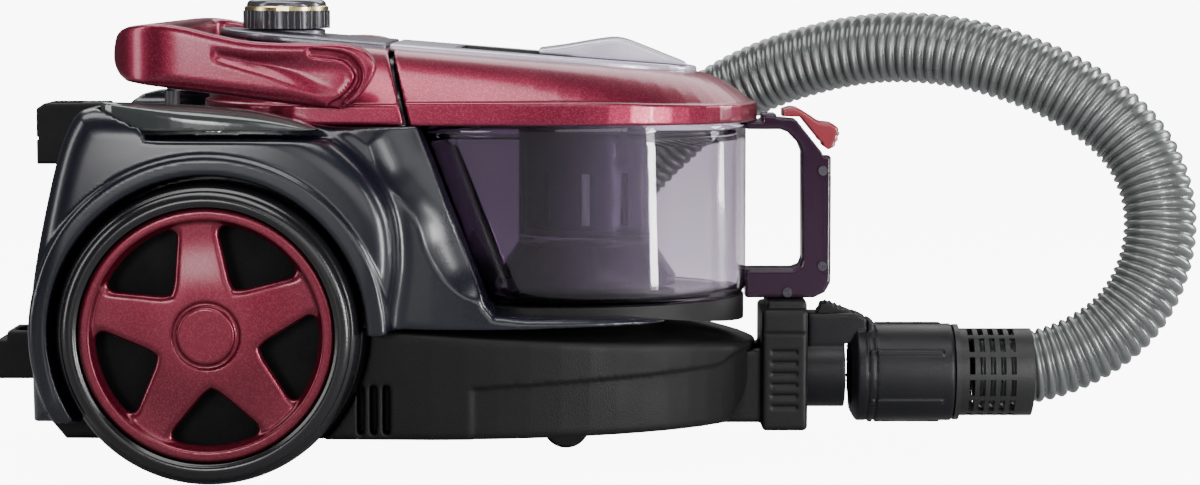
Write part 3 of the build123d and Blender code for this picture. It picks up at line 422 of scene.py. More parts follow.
def new_material(name, group, values, metallic=0.0, **more):
    """Material of one Principled shader fed by a node group."""
    material = bpy.data.materials.new(name)
    material.use_nodes = True
    tree = material.node_tree
    shader = next(n for n in tree.nodes if n.type == "BSDF_PRINCIPLED")
    use = tree.nodes.new("ShaderNodeGroup")
    use.node_tree = group
    for label, value in values.items():
        use.inputs[label].default_value = value
    tree.links.new(use.outputs["Colour"], shader.inputs["Base Color"])
    tree.links.new(use.outputs["Roughness"], shader.inputs["Roughness"])
    tree.links.new(use.outputs["Normal"], shader.inputs["Normal"])
    shader.inputs["Metallic"].default_value = metallic
    for label, value in more.items():
        shader.inputs[label.replace("_", " ")].default_value = value
    return material, shader, use


def paint(name, colour, flake, amount, roughness, metallic=0.75, **more):
    """Metallic paint under a clear coat."""
    return new_material(name, FLAKE_PAINT, {"Colour": colour, "Flake": flake, "Flake amount": amount,
                                            "Roughness": roughness}, metallic, **more)[0]


def plastic(name, colour, worn, roughness, size=1400.0, depth=0.25, metallic=0.0, **more):
    """Moulded plastic, rubber or metal with a grain."""
    return new_material(name, MOULDED_GRAIN, {"Colour": colour, "Worn colour": worn, "Roughness": roughness,
                                              "Grain size": size, "Grain depth": depth}, metallic, **more)[0]


def gloss(name, colour, tint, roughness, metallic=0.0, **more):
    """Polished plastic or metal."""
    return new_material(name, GLOSS_HAZE, {"Colour": colour, "Tint": tint, "Roughness": roughness},
                        metallic, **more)[0]


COAT = {"Coat_Weight": 0.55, "Coat_Roughness": 0.16}
crimson_paint = paint("crimson_paint", (0.180, 0.007, 0.030, 1), (0.50, 0.08, 0.16, 1), 0.30, 0.34, 0.8,
                      **COAT)
hub_paint = paint("hub_paint", (0.130, 0.005, 0.019, 1), (0.42, 0.05, 0.11, 1), 0.28, 0.35, 0.8, **COAT)
panel_paint = paint("panel_paint", (0.13, 0.12, 0.15, 1), (0.45, 0.43, 0.5, 1), 0.25, 0.34, 0.8, **COAT)
lid_panel_paint = paint("lid_panel_paint", (0.50, 0.46, 0.56, 1), (0.8, 0.78, 0.86, 1), 0.25, 0.32, 0.55,
                        **COAT)
lever_paint = paint("lever_paint", (0.58, 0.54, 0.64, 1), (0.85, 0.83, 0.9, 1), 0.25, 0.30, 0.5, **COAT)
trigger_paint = plastic("trigger_red", (0.16, 0.004, 0.012, 1), (0.36, 0.04, 0.07, 1), 0.28, 1800.0, 0.12,
                        Coat_Weight=0.5, Coat_Roughness=0.12)
casing_gloss = gloss("casing_gloss", (0.0020, 0.0024, 0.0075, 1), (0.006, 0.006, 0.012, 1), 0.27,
                     Specular_IOR_Level=0.4, Coat_Weight=0.3, Coat_Roughness=0.17)
pedal_gloss = gloss("pedal_gloss", (0.030, 0.034, 0.034, 1), (0.060, 0.066, 0.064, 1), 0.15,
                    Coat_Weight=0.5, Coat_Roughness=0.08)
tyre_rubber = gloss("tyre_rubber", (0.004, 0.004, 0.005, 1), (0.009, 0.009, 0.010, 1), 0.20)
base_black = plastic("base_black", (0.004, 0.004, 0.0045, 1), (0.016, 0.016, 0.017, 1), 0.55, 1500.0, 0.4,
                     Specular_IOR_Level=0.2)
disc_black = plastic("disc_black", (0.003, 0.003, 0.0035, 1), (0.012, 0.012, 0.012, 1), 0.62, 1200.0, 0.3,
                     Specular_IOR_Level=0.2)
bracket_black = plastic("bracket_black", (0.004, 0.004, 0.0045, 1), (0.02, 0.02, 0.02, 1), 0.6, 1300.0, 0.4,
                        Specular_IOR_Level=0.2)
inlet_black = plastic("inlet_black", (0.0045, 0.0045, 0.005, 1), (0.02, 0.02, 0.021, 1), 0.42, 1700.0, 0.35,
                      Specular_IOR_Level=0.2)
connector_black = plastic("connector_black", (0.005, 0.005, 0.006, 1), (0.03, 0.03, 0.032, 1), 0.36, 1500.0,
                          0.3,
                          Specular_IOR_Level=0.2)
cuff_black = plastic("cuff_black", (0.004, 0.004, 0.0045, 1), (0.025, 0.025, 0.025, 1), 0.40, 1600.0, 0.3,
                     Specular_IOR_Level=0.2)
latch_black = plastic("latch_black", (0.005, 0.005, 0.0055, 1), (0.03, 0.03, 0.03, 1), 0.33, 2000.0, 0.3,
                      Specular_IOR_Level=0.2)
seat_black = plastic("seat_black", (0.003, 0.003, 0.004, 1), (0.015, 0.015, 0.015, 1), 0.5,
                     Specular_IOR_Level=0.2)
tray_grey = plastic("tray_grey", (0.018, 0.015, 0.017, 1), (0.07, 0.06, 0.07, 1), 0.34, 1200.0, 0.25)
rest_grey = plastic("rest_grey", (0.03, 0.03, 0.036, 1), (0.10, 0.10, 0.11, 1), 0.35)
caster_rubber = plastic("caster_rubber", (0.012, 0.012, 0.012, 1), (0.05, 0.05, 0.05, 1), 0.6, 900.0, 0.4)
knob_black = gloss("knob_black", (0.010, 0.010, 0.014, 1), (0.03, 0.03, 0.036, 1), 0.16)
knob_dome = gloss("knob_dome", (0.035, 0.035, 0.045, 1), (0.075, 0.075, 0.09, 1), 0.20, 0.4,
                  Coat_Weight=0.6, Coat_Roughness=0.08)
ring_gold = plastic("ring_gold", (0.72, 0.55, 0.24, 1), (0.9, 0.78, 0.45, 1), 0.22, 900.0, 0.08, 1.0)
hose_silver = plastic("hose_silver", (0.085, 0.092, 0.090, 1), (0.26, 0.28, 0.27, 1), 0.30, 1100.0, 0.10,
                      0.5,
                      Coat_Weight=0.35, Coat_Roughness=0.18)
insert_purple = plastic("insert_purple", (0.045, 0.028, 0.048, 1), (0.16, 0.12, 0.17, 1), 0.35)
screw_steel = plastic("screw_steel", (0.45, 0.45, 0.46, 1), (0.7, 0.7, 0.7, 1), 0.3, 700.0, 0.1, 1.0)
screw_dark = plastic("screw_dark", (0.012, 0.008, 0.013, 1), (0.05, 0.04, 0.055, 1), 0.3, 700.0, 0.1)
axle_steel = plastic("axle_steel", (0.5, 0.5, 0.51, 1), (0.75, 0.75, 0.75, 1), 0.28, 800.0, 0.12, 1.0)
spring_steel = plastic("spring_steel", (0.42, 0.42, 0.43, 1), (0.7, 0.7, 0.7, 1), 0.3, 900.0, 0.12, 1.0)
seal_rubber = plastic("seal_rubber", (0.02, 0.02, 0.022, 1), (0.07, 0.07, 0.07, 1), 0.7, 900.0, 0.3)
filter_foam = plastic("filter_foam", (0.10, 0.11, 0.12, 1), (0.3, 0.3, 0.3, 1), 0.95, 380.0, 0.9)
filter_pleats = plastic("filter_pleats", (0.62, 0.62, 0.58, 1), (0.8, 0.8, 0.78, 1), 0.9, 420.0, 0.7)
mesh_steel = plastic("mesh_steel", (0.25, 0.25, 0.27, 1), (0.5, 0.5, 0.5, 1), 0.4, 700.0, 0.8, 0.7)
board_green = plastic("board_green", (0.01, 0.10, 0.04, 1), (0.5, 0.4, 0.15, 1), 0.4, 500.0, 0.4)
motor_shell = plastic("motor_shell", (0.05, 0.05, 0.055, 1), (0.15, 0.15, 0.15, 1), 0.5)
motor_copper = plastic("motor_copper", (0.35, 0.20, 0.13, 1), (0.7, 0.45, 0.3, 1), 0.4, 600.0, 0.6, 0.8)
impeller_metal = plastic("impeller_metal", (0.55, 0.55, 0.56, 1), (0.8, 0.8, 0.8, 1), 0.35, 700.0, 0.15, 0.9)
reel_plastic = plastic("reel_plastic", (0.22, 0.22, 0.23, 1), (0.4, 0.4, 0.4, 1), 0.5)


def clear_plastic(name, colour, roughness, weight=1.0, ior=1.2):
    """Tinted see-through plastic with faint flow marks and hairline scuffs."""
    material, shader, use = new_material(
        name, GLOSS_HAZE, {"Colour": colour, "Tint": tuple(c * 0.93 for c in colour[:3]) + (1,),
                           "Roughness": roughness}, 0.0,
        Transmission_Weight=weight, IOR=ior)
    return material


def clear_wall_with_painted_shade(name, painted_shade_colour, front_colour, roughness, ior):
    """Clear plastic with painted shade: its tint is deep by the rear wall, standing in for the dark body
    seen through it, and thins out towards the front.
    """
    material, shader, use = new_material(
        name, GLOSS_HAZE, {"Colour": front_colour, "Tint": front_colour, "Roughness": roughness},
        Transmission_Weight=1.0, IOR=ior)
    tree = material.node_tree
    place = tree.nodes.new("ShaderNodeTexCoord")
    parts = tree.nodes.new("ShaderNodeSeparateXYZ")
    tree.links.new(place.outputs["Object"], parts.inputs[0])
    # Painted shade: the base colour goes from the dark rear colour at x 12 mm to the clear front colour at x
    # 85 mm
    share = spread(tree, parts.outputs["X"], 0.012, 0.085)
    tree.links.new(mix_colour(tree, share, painted_shade_colour, use.outputs["Colour"]), shader.inputs["Base Color"])
    return material


# Bin cup: smoky clear plastic, with painted shade darkening its rear half
bin_smoke_and_painted_shade = clear_wall_with_painted_shade("bin_smoke_and_painted_shade", (0.20, 0.15, 0.22, 1), (0.66, 0.61, 0.69, 1), 0.012, 1.45)
handle_smoke = clear_plastic("handle_smoke", (0.030, 0.013, 0.028, 1), 0.06, 0.30, 1.35)
cyclone_smoke = clear_plastic("cyclone_smoke", (0.40, 0.34, 0.45, 1), 0.10, 0.72, 1.2)
skirt_smoke = clear_plastic("skirt_smoke", (0.44, 0.38, 0.48, 1), 0.08, 0.72, 1.25)


# ------------------------------------------------------------------ lights and floor
def white_to_viewer(tree, strength, faint):
    """Strong glow for rays from the viewer, weaker through clear plastic, and faint for the rest."""
    rays = tree.nodes.new("ShaderNodeLightPath")
    direct = add_values(tree, rays.outputs["Is Camera Ray"], GLOW - faint, "MULTIPLY")
    through = add_values(tree, rays.outputs["Is Transmission Ray"], GLOW_THROUGH - faint, "MULTIPLY")
    tree.links.new(add_values(tree, add_values(tree, direct, through), faint), strength)


def make_stage():
    """Flat pale floor all round, and a white surround."""
    rings = [[(-FLOOR_REACH, y, 0), (FLOOR_REACH, y, 0)] for y in (-FLOOR_REACH, FLOOR_REACH)]
    floor = rings_piece("floor", rings, closed=False)
    material = bpy.data.materials.new("floor_white")
    material.use_nodes = True
    tree = material.node_tree
    shader = next(n for n in tree.nodes if n.type == "BSDF_PRINCIPLED")
    shader.inputs["Roughness"].default_value = 0.7
    tone = spread(tree, noise(tree, 3, 3).outputs[0], 0.3, 0.7)
    tree.links.new(mix_colour(tree, tone, (0.30, 0.30, 0.31, 1), (0.34, 0.34, 0.35, 1)),
                   shader.inputs["Base Color"])
    white_to_viewer(tree, shader.inputs["Emission Strength"], 0.0)
    shader.inputs["Emission Color"].default_value = (1, 1, 1, 1)
    material.cycles.emission_sampling = "NONE"
    floor.data.materials.append(material)
    world = bpy.data.worlds.new("surround")
    bpy.context.scene.world = world
    world.use_nodes = True
    back = next(n for n in world.node_tree.nodes if n.type == "BACKGROUND")
    back.inputs["Color"].default_value = (1.0, 1.0, 1.0, 1)
    white_to_viewer(world.node_tree, back.inputs["Strength"], SURROUND_GLOW)


def soft_light(name, place, aim, size, power, colour=(1, 1, 1)):
    """Rectangular soft light."""
    data = bpy.data.lights.new(name, "AREA")
    data.shape = "RECTANGLE"
    data.size, data.size_y = size
    data.energy = power
    data.color = colour
    light = bpy.data.objects.new(name, data)
    bpy.context.scene.collection.objects.link(light)
    light.location = place
    light.rotation_mode = "QUATERNION"
    light.rotation_quaternion = (Vector(aim) - Vector(place)).to_track_quat("-Z", "Y")


make_stage()
soft_light("key_top", (-0.2, -0.35, 1.5), (0, 0, 0.1), (1.9, 0.7), 27)
soft_light("front_fill", (0.8, -2.3, 0.9), (-0.05, 0, 0.12), (1.7, 1.1), 15)
soft_light("hub_fill", (-0.45, -1.9, 0.35), (-0.15, 0, 0.08), (0.35, 0.35), 7)
soft_light("right_strip", (1.20, -0.95, 0.35), (0.1, 0, 0.13), (0.13, 1.1), 9)
soft_light("bin_strip", (0.42, -0.345, 0.125), (0.074, -0.0735, 0.13), (0.035, 0.24), 2.0)
soft_light("rear_strip", (1.35, 0.35, 0.35), (0.1, 0, 0.13), (0.28, 1.0), 20)
soft_light("left_strip", (-1.3, -0.45, 0.5), (-0.15, 0, 0.12), (0.3, 1.1), 7)
soft_light("back_wash", (0.2, 1.2, 1.2), (0.1, 0.1, 0.1), (2.2, 0.8), 18)


# ------------------------------------------------------------------ shapes shared by the casings
def half_ellipse(flat_x, round_x, mid_x, half, flat_half):
    """Plan outline: straight across at one end, half an ellipse at the other."""
    turn = np.linspace(-math.pi / 2, math.pi / 2, 33)
    curve = np.stack([mid_x + (round_x - mid_x) * np.cos(turn), half * np.sin(turn)], 1)
    return np.concatenate([curve, [[flat_x, flat_half], [flat_x, -flat_half]]])


def top_plane(x):
    """Height of the sloping top at a place along the body."""
    return TOP_Z - TOP_SLOPE * x


def seam_at(z):
    """Where the curved seam between the rear cover and the lid runs at a height."""
    t = np.clip((z - SEAM_LOW[1]) / (SEAM_HIGH[1] - SEAM_LOW[1]), 0, 1.2)
    return SEAM_LOW[0] + (SEAM_HIGH[0] - SEAM_LOW[0]) * t ** 1.15


hull_plan = outline(half_ellipse(-245, 133, -40, 112, 104))
upper_side = outline([(-245, 77.3), (-222, 184.5), (-130, 184.5), (-122, 181.4), (-48, 181.4),
                      (-12.5, 90), (-8, 84.5), (8, 82.5), (62, 81), (133, 71.5), (133, 61.3),
                      (84, 67.3), (-37, 75.3), (-70, 77.3)])
lower_side = outline([(-245, 76.7), (-70, 76.7), (-37, 74.7), (84, 66.7), (133, 60.7), (131, 46),
                      (124.5, 33),
                      (115, 20), (-230, 20), (-245, 38)])
fender_shape = smooth_curve([(-243.5, 30), (-243.5, 84), (-241, 112), (-230, 163), (-221, 186), (-212, 192),
                             (-195, 192.5), (-150, 190), (-119, 186), (-98, 179), (-82, 168.5), (-68, 153.5),
                             (-60, 136), (-58, 112), (-62, 80), (-64, 30)])
fender_side = outline(fender_shape)
flank_crease = smooth_curve([(-74, 171), (-65.9, 155.2), (-57.2, 145), (-48.4, 133.3), (-42.6, 117.2),
                             (-32.4, 101.1), (-17.8, 91.4), (4, 88), (60, 86.5), (140, 80)])
flank_zone = outline(np.concatenate([flank_crease, [[140, 210], [-95, 210], [-95, 186]]]))
pedal_plan = outline(smooth_curve([(-207, 0), (-196, 8.5), (-170, 13), (-140, 13.6), (-112, 11.5), (-92, 6),
                                   (-86, 0), (-92, -6), (-112, -11.5), (-140, -13.6), (-170, -13),
                                   (-196, -8.5)], True, 4))


def wheel_distance(x, z):
    """Distance from the rear wheels' axis."""
    return np.hypot(x - WHEEL_X, z - WHEEL_Z)


def fender_face(x, z):
    """How far a fender bulges out to the side."""
    return 136.6 - 3.2 * ((x + 150) / 95) ** 2 - 2.4 * ((z - 118) / 80) ** 2


def upper_casing_field(x, y, z):
    """Gloss casing: hull, fenders with a rolled edge, and a scooped flank in front of each fender."""
    side = np.abs(y)
    into = np.clip(-flank_zone(x, z) / 30, 0, 1)
    scoop = 13 * into * (2 - into)
    hull = both(both(hull_plan(x, y), upper_side(x, z), 5), side - 112 + scoop, 1.2)
    arch = wheel_distance(x, z)
    face = fender_face(x, z)
    face = face + (137.8 - face) * ease((92.0 - arch) / 2.8)
    fender = both(both(fender_side(x, z), side - face, 15), 96 - side)
    lip = both(both(arch - 91, side - 136.4, 5), both(100 - side, 33 - z, 1))
    whole = either(either(hull, fender, 9), lip, 1.5)
    whole = both(whole, -both(arch - 80.5, 104 - side), 2.6)
    whole = both(whole, -both(z - 77, -152.5 - x), 1.0)
    whole = both(whole, -both(z - 77.3, side - 104.3))
    whole = both(whole, 32 - z, 1.0)
    well = both(pedal_plan(x, side - PEDAL_Y) - 0.9, 176 - z, 1.0)
    whole = both(whole, -well, 2.2)
    duct = both(np.hypot(y, z - 140) - 22, both(-62 - x, x))
    cable = both(np.hypot(y - 60, z - 110) - 9, x + 235)
    core = both(both(side - 91 + 32 * ease((z - 194) / 22), z - top_plane(x) + 5.0),
                both(seam_at(z) - 7 - x, x - seam_at(z) - 0.6))
    core = both(core, 180 - z)
    return either(both(both(whole, -duct, 0.8), -cable, 0.8), core, 0)


def lower_casing_field(x, y, z):
    """Matt base with upright slots before the wheels, vents at the back and a stepped side."""
    side = np.abs(y)
    line = 47.5 + (x + 19) * 0.043 + 6.0 * ease((x - 108) / 16)
    step = 1.5 * ease((line - z) / 0.9) * ease((x + 21) / 3)
    hull = both(hull_plan(x, y) + step, lower_side(x, z), 4)
    hull = both(hull, -both(wheel_distance(x, z) - 80.6, 103.9 - side), 1.0)
    for slot in range(3):
        u, w = x + 77 - 6.6 * slot, z - 36
        bar = np.hypot(u, np.maximum(np.abs(w) - 11, 0)) - 1.9
        hull = both(hull, -both(bar, 100 - side), 0.6)
    for row in range(4):
        bar = np.hypot(z - 42 - 8 * row, np.maximum(np.abs(side - 52) - 23, 0)) - 2
        hull = both(hull, -both(bar, x + 236), 0.6)
    well = both(np.hypot(x - 36, y) - 26, z - 30)
    boss = both(np.hypot(x - 36, y) - 9, 26.2 - z)
    hull = both(hull, -both(well, -both(boss, z - 40)), 0.8)
    inlet = both(both(102 - x, side - 26.3), both(z - 56.5, 17 - z))
    hull = both(hull, -inlet, 0.5)
    axle = both(wheel_distance(x, z) - 14, both(93 - side, side - 106), 0.8)
    stalk = both(both(np.abs(x - WHEEL_X) - 34, z - 72), both(21 - z, both(99 - side, side - 104.1)))
    return both(either(hull, either(axle, stalk), 0.5), -both(wheel_distance(x, z) - 5.2, 92 - side))


cover_plan = outline(half_ellipse(20, -168, -105, 99.5, 99.5))
lid_plan = outline(half_ellipse(-120, 132, 0, 96.8, 96.8))


def dome_top(x, inward, low, reach, sharp):
    """Height of a domed cover: rises steeply inward from its rim, then meets the sloping top."""
    t = np.clip(inward / reach, 0, 1)
    return low + (top_plane(x) - low) * (1 - (1 - t) ** sharp)


def rear_cover_field(x, y, z):
    """Crimson rear cover: a flat band, and a dome beside the handle's arms."""
    side = np.abs(y)
    plan = cover_plan(x, y)
    band = both(plan, z - 192.6, 0.8)
    inward = -plan - 1.6
    dome = both(both(z - dome_top(x, inward, 191.5, 40, 2.1), plan + 1.6), z - top_plane(x) - 0.2, 1.6)
    outer = either(band, dome * 0.8, 0.5)
    outer = both(outer, 182.2 - z, 0.6)
    inside = both(both(z - dome_top(x, inward - 4, 188, 40, 2.1) + 0.5, plan + 5), z - top_plane(x) + 3)
    shell = both(outer, -inside)
    shell = both(shell, x - seam_at(z) + 1.4, 1.2)
    boss = both(np.hypot(x + 92, z - 208) - 11, both(84 - side, side - 98.6), 0.6)
    shell = either(shell, boss, 1.0)
    stem = np.hypot(x - KNOB_X, y) - 4.2
    return both(shell, -stem)


def bin_lid_field(x, y, z):
    """Crimson lid: a bright flat rim and a dome that falls to the front."""
    plan = lid_plan(x, y)
    fall = -3.2 * ease((x - 20) / 110)
    low, top = 181.6 + fall * 0.35, 193.6 + fall
    band = both(plan, both(z - top, low - z, 0), 1.0)
    inward = -plan - 1.5
    dome = both(both(z - dome_top(x, inward, top - 1.0, 40, 2.4), plan + 1.5), z - top_plane(x) - 0.2, 1.6)
    dome = both(dome * 0.8, low - z)
    outer = either(band, dome, 0.4)
    inside = both(both(z - dome_top(x, inward - 4, top - 4, 40, 2.4) + 0.5, plan + 4), z - top_plane(x) + 3)
    shell = both(outer, -inside)
    shell = both(shell, seam_at(z) + 1.4 - x, 1.2)
    tray = both(both(np.abs(x) - 31.5, np.abs(y) - 33.5, 3), 190 - z)
    return both(shell, -tray, 0.6)


panel_plan = outline(half_ellipse(20, -160, -118, 55, 55))
lid_panel_plan = outline(half_ellipse(-120, 99, 8, 55, 55))


def top_panel_field(x, y, z):
    """Grey panel on the rear cover."""
    height = z - top_plane(x)
    slab = both(both(panel_plan(x, y), height - 2.5, 1.6), -height - 1.6)
    slab = both(slab, x - PANEL_SEAM_X + 1.0, 1.2)
    from_knob = np.hypot(x - KNOB_X, y)
    seat = both(from_knob - 21, both(z - 229.8, 223 - z), 0.8)
    return both(either(slab, seat, 0.8), 4.2 - from_knob)


def lid_panel_field(x, y, z):
    """Pale panel on the lid, open over the finger tray."""
    height = z - top_plane(x)
    slab = both(both(lid_panel_plan(x, y), height - 2.5, 1.6), -height - 1.6)
    slab = both(slab, PANEL_SEAM_X + 1.0 - x, 1.2)
    return both(slab, -both(np.abs(x) - 31.2, np.abs(y) - 33.2, 3), 0.6)


lever_side = outline(smooth_curve([(13, 2.4), (28, 5.6), (44, 9.6), (54, 11.6), (61, 11.2), (70, 8.6),
                                   (82, 4.8),
                                   (92, 1.6), (94, 0.4), (90, 0.15)], False, 6).tolist()
                     + [(14, 0.15)])
lever_gap = outline([(8, -2), (36, -2), (36, 1.4), (47, 5.6), (40, 5.4), (14, 0.9), (8, 0.4)])


def lid_lever_field(x, y, z):
    """Pale wedge over the tray, hollow under its raised middle."""
    height = z - top_plane(x) - 2.5
    width = 31 - 7 * ease((x - 40) / 55)
    blade = both(lever_side(x, height), np.abs(y) - width, 1.8)
    return both(blade, -both(lever_gap(x, height), np.abs(y) - 22), 0.5)


# ------------------------------------------------------------------ carry handle
arm_shape = smooth_curve([(-196, 204.7), (-201.8, 208.6), (-206, 215), (-205.6, 222), (-202, 229.2),
                          (-194, 233), (-180, 234.2), (-166, 232.6), (-150, 228.8), (-132, 225.4),
                          (-108, 224.2),
                          (-86, 224.2), (-73.5, 221), (-68.2, 213), (-70.6, 205), (-77.6, 196.4),
                          (-86.4, 190.8)], False, 7)
arm_side = outline(np.concatenate([arm_shape, [[-96, 191.4], [-188, 203.4]]]))
arm_top_edge = smooth_curve([(-200, 226.5), (-184, 228), (-168, 224), (-156, 221.4), (-149, 215),
                             (-139, 212),
                             (-122, 207), (-106, 200.4), (-92, 193.8), (-86, 190)], False, 8)
scoop_zone = outline(np.concatenate([arm_top_edge[30:],
                                     [[-77, 199], [-74.5, 206], (-75.8, 213), (-82, 218.4),
                                                           (-104, 219.6), (-132, 219.8), (-150, 222.5)]]))
nose_groove = path_distance(smooth_curve([(-100, 219.8), (-84, 217.6), (-77.4, 211.5), (-77, 205),
                                          (-82.5, 197.4),
                                          (-90, 192.2)], False, 6))


def carry_handle_field(x, y, z):
    """Crimson handle: a rounded bar across the back and two sculpted arms."""
    side = np.abs(y)
    floor_line = 204.7 - 0.1296 * (x + 196)
    above = z - floor_line
    bevel = 0.55 * np.clip(6.4 - above, 0, 8)
    into = np.clip(-scoop_zone(x, z) / 9, 0, 1)
    sweep = 5.4 * into * (2 - into) * (0.75 + 0.25 * np.sin((x + 150) / 13))
    groove = 3.0 * ease((3.0 - nose_groove(x, z)) / 1.6)
    face = side - 117 + bevel + sweep + groove
    solid = both(arm_side(x, z), face, 3.2)
    plan_corner = both(-x - 207, side - 117, 46)
    solid = both(solid, plan_corner, 2.5)
    hollow = both(side - 99.5, -176 - x, 14)
    solid = both(solid, -hollow, 3.5)
    pin = both(np.hypot(x + 92, z - 208) - 5.1, side - 110.5)
    return both(solid, -pin, 0.4)


def pedal_field(side_sign):
    """Lens-shaped pedal on a fender."""
    def field(x, y, z):
        crown = 3.5 * (((x + 146) / 60) ** 2 + ((side_sign * y - PEDAL_Y) / 16) ** 2)
        top = 196.6 - 0.062 * (x + 200) - crown * 0.5
        body = both(both(pedal_plan(x, side_sign * y - PEDAL_Y), z - top, 1.8), 180.8 - z)
        rounded = both(fender_side(x, z), side_sign * y - fender_face(x, z), 15)
        return both(body, rounded - 2.4, 1.2)
    return field


# ------------------------------------------------------------------ wheels
def hub_cap_field(side_sign):
    """Five-spoke cap with a rim lip and a round centre."""
    angles = [math.radians(94.5 + 72 * i) for i in range(5)]

    def field(x, y, z):
        u, w, t = x - WHEEL_X, z - WHEEL_Z, side_sign * y
        r = np.hypot(u, w)
        window = both(r - 56.5, 25 - r, 3)
        spine = 0 * r + 1e3
        for a in angles:
            along, across = u * math.cos(a) + w * math.sin(a), np.abs(-u * math.sin(a) + w * math.cos(a))
            half = 16 - 6.7 * np.clip((along - 14) / 45, 0, 1)
            spoke = both(across - half, -along)
            spine = np.minimum(spine, spoke)
        window = both(window, -spine, 7)
        face = 139.3 - 1.6 * ease((r - 18) / 34) + 3.2 * ease((r - 57.0) / 2.6) - 0.9 * ease((r - 62.6) / 2)
        groove = 1.1 * (ease((r - 14.0) / 0.7) - ease((r - 16.9) / 0.7)) - 1.2 * ease((15.4 - r) / 1.2)
        body = both(both(r - 64.6, t - face + groove, 0.8), 131 - t)
        body = both(body, -window, 3.4)
        ring = both(both(r - 64.6, 60.5 - r), both(126.2 - t, t - 136))
        return both(either(body, ring), -both(r - 11, t - 135))
    return field


TYRE_PROFILE = [(112, 65.3), (112, 67), (109.8, 70.5), (109.5, 73.0), (110.2, 75), (112, 76.6),
                (114.5, 77.4),
                (116.6, 77.7), (116.9, 76.6), (118.1, 76.6), (118.4, 77.75), (121.6, 77.75), (121.9, 76.6),
                (123.1, 76.6), (123.4, 77.75), (126.6, 77.7), (126.9, 76.6), (128.1, 76.5), (128.4, 77.5),
                (131.5, 77.1), (134.5, 76.3), (136.8, 75.2), (138.4, 74.1), (138.7, 73.3), (139.3, 73.2),
                (140.3, 73.0), (141.6, 71.9), (142.6, 70.3), (143.0, 68.7), (142.9, 67.3), (142.5, 66.5),
                (141.9, 66.1), (141.7, 65.4), (141.2, 65.2), (126.4, 65.2), (118, 65.3)]


# ------------------------------------------------------------------ dust bin
def bin_ring(z, inset, pull_in=0.0):
    """Plan ring of the bin at a height; its rear wall leans and its corners are round."""
    share = (z - 86) / 94.7
    rear, half = -14 - 35 * share + inset, 81 + 7 * share - inset
    front, mid, corner = 126 - inset, 22.0, 25.0 - inset
    points = []
    for a in np.linspace(-math.pi / 2, math.pi / 2, 49):
        points.append((mid + (front - mid) * math.cos(a), half * math.sin(a)))
    for a in np.linspace(0, math.pi / 2, 10):
        points.append((rear + corner - corner * math.sin(a), half - 2 - corner + corner * math.cos(a)))
    for a in np.linspace(math.pi / 2, 0, 10):
        points.append((rear + corner - corner * math.sin(a), -(half - 2 - corner + corner * math.cos(a))))
    middle = np.array([(rear + front) / 2, 0.0])
    flat = np.array(points) - middle
    far = np.linalg.norm(flat, axis=1, keepdims=True)
    flat = middle + flat * (1 - pull_in / far)
    return np.column_stack([flat, np.full(len(flat), z)])


def make_bin_cup():
    """Clear cup with a rounded foot, a stepped rim and an open top."""
    rings = []
    for a in np.linspace(0, math.pi / 2, 7):
        rings.append(bin_ring(86 + 5 * (1 - math.cos(a)), 0, 5 * (1 - math.sin(a))))
    rings += [bin_ring(z, 0) for z in np.linspace(94, 176, 13)]
    rings += [bin_ring(z, i) for z, i in ((176.6, -0.4), (178.5, -0.4), (179.2, 0.0), (180.6, 0.0),
                                          (180.9, 0.4),
                                          (180.9, 2.0), (180.4, 2.4))]
    rings += [bin_ring(z, 2.4) for z in np.linspace(176, 96, 10)]
    for a in np.linspace(math.pi / 2, 0, 6):
        rings.append(bin_ring(88.4 + 5 * (1 - math.cos(a)), 2.4, 5 * (1 - math.sin(a))))
    cup = rings_piece("clear_bin_cup", rings, bin_smoke_and_painted_shade, cap=True)
    outward(cup)
    return cup


def bin_handle_field(x, y, z):
    """Smoky grip joined to the bin at its top and foot."""
    side = np.abs(y)
    body = both(grip_outer(x, z), -grip_inner(x, z), 1.0)
    body = both(body, side - 11, 2.2)
    body = both(body, -both(both(167 - x, side - 6), both(95.8 - z, z - 150.2)), 0.4)
    return both(body, -both(trigger_room(x, z), side - 12), 0.3)


grip_outer = outline([(125.6, 83.5), (163, 83.5), (169, 86.5), (172, 92), (172, 164), (169, 171),
                      (158, 181.5),
                      (154, 184), (134, 184), (134, 180.6), (125.6, 180.6)])
grip_inner = outline([(110, 99.5), (151, 99.5), (155, 101), (156.4, 105), (156, 163), (154, 168), (148, 174),
                      (144, 175.4), (110, 175.4)])
trigger_room = outline([(142, 195), (142, 181.9), (152.8, 180.7), (166.8, 163.2), (168, 160.5), (190, 160.5),
                        (190, 195)])
trigger_side = outline(smooth_curve([(145.5, 186.4), (152, 187.6), (160, 183.4), (165.6, 179.8),
                                     (172.5, 178.6),
                                     (176.2, 174.6), (174.6, 168), (171.6, 164.2)], False, 5).tolist()
                       + [(169.6, 164.2), (155, 182.2), (145.5, 182.4)])


def trigger_field(x, y, z):
    """Crimson release over the grip's top corner, with finger ribs."""
    ribs = 0.35 * np.sin((z - 164) * 1.9) * ease((178 - z) / 4) * ease((x - 163) / 4)
    return both(trigger_side(x, z) + ribs, np.abs(y) - 10.5, 1.8)


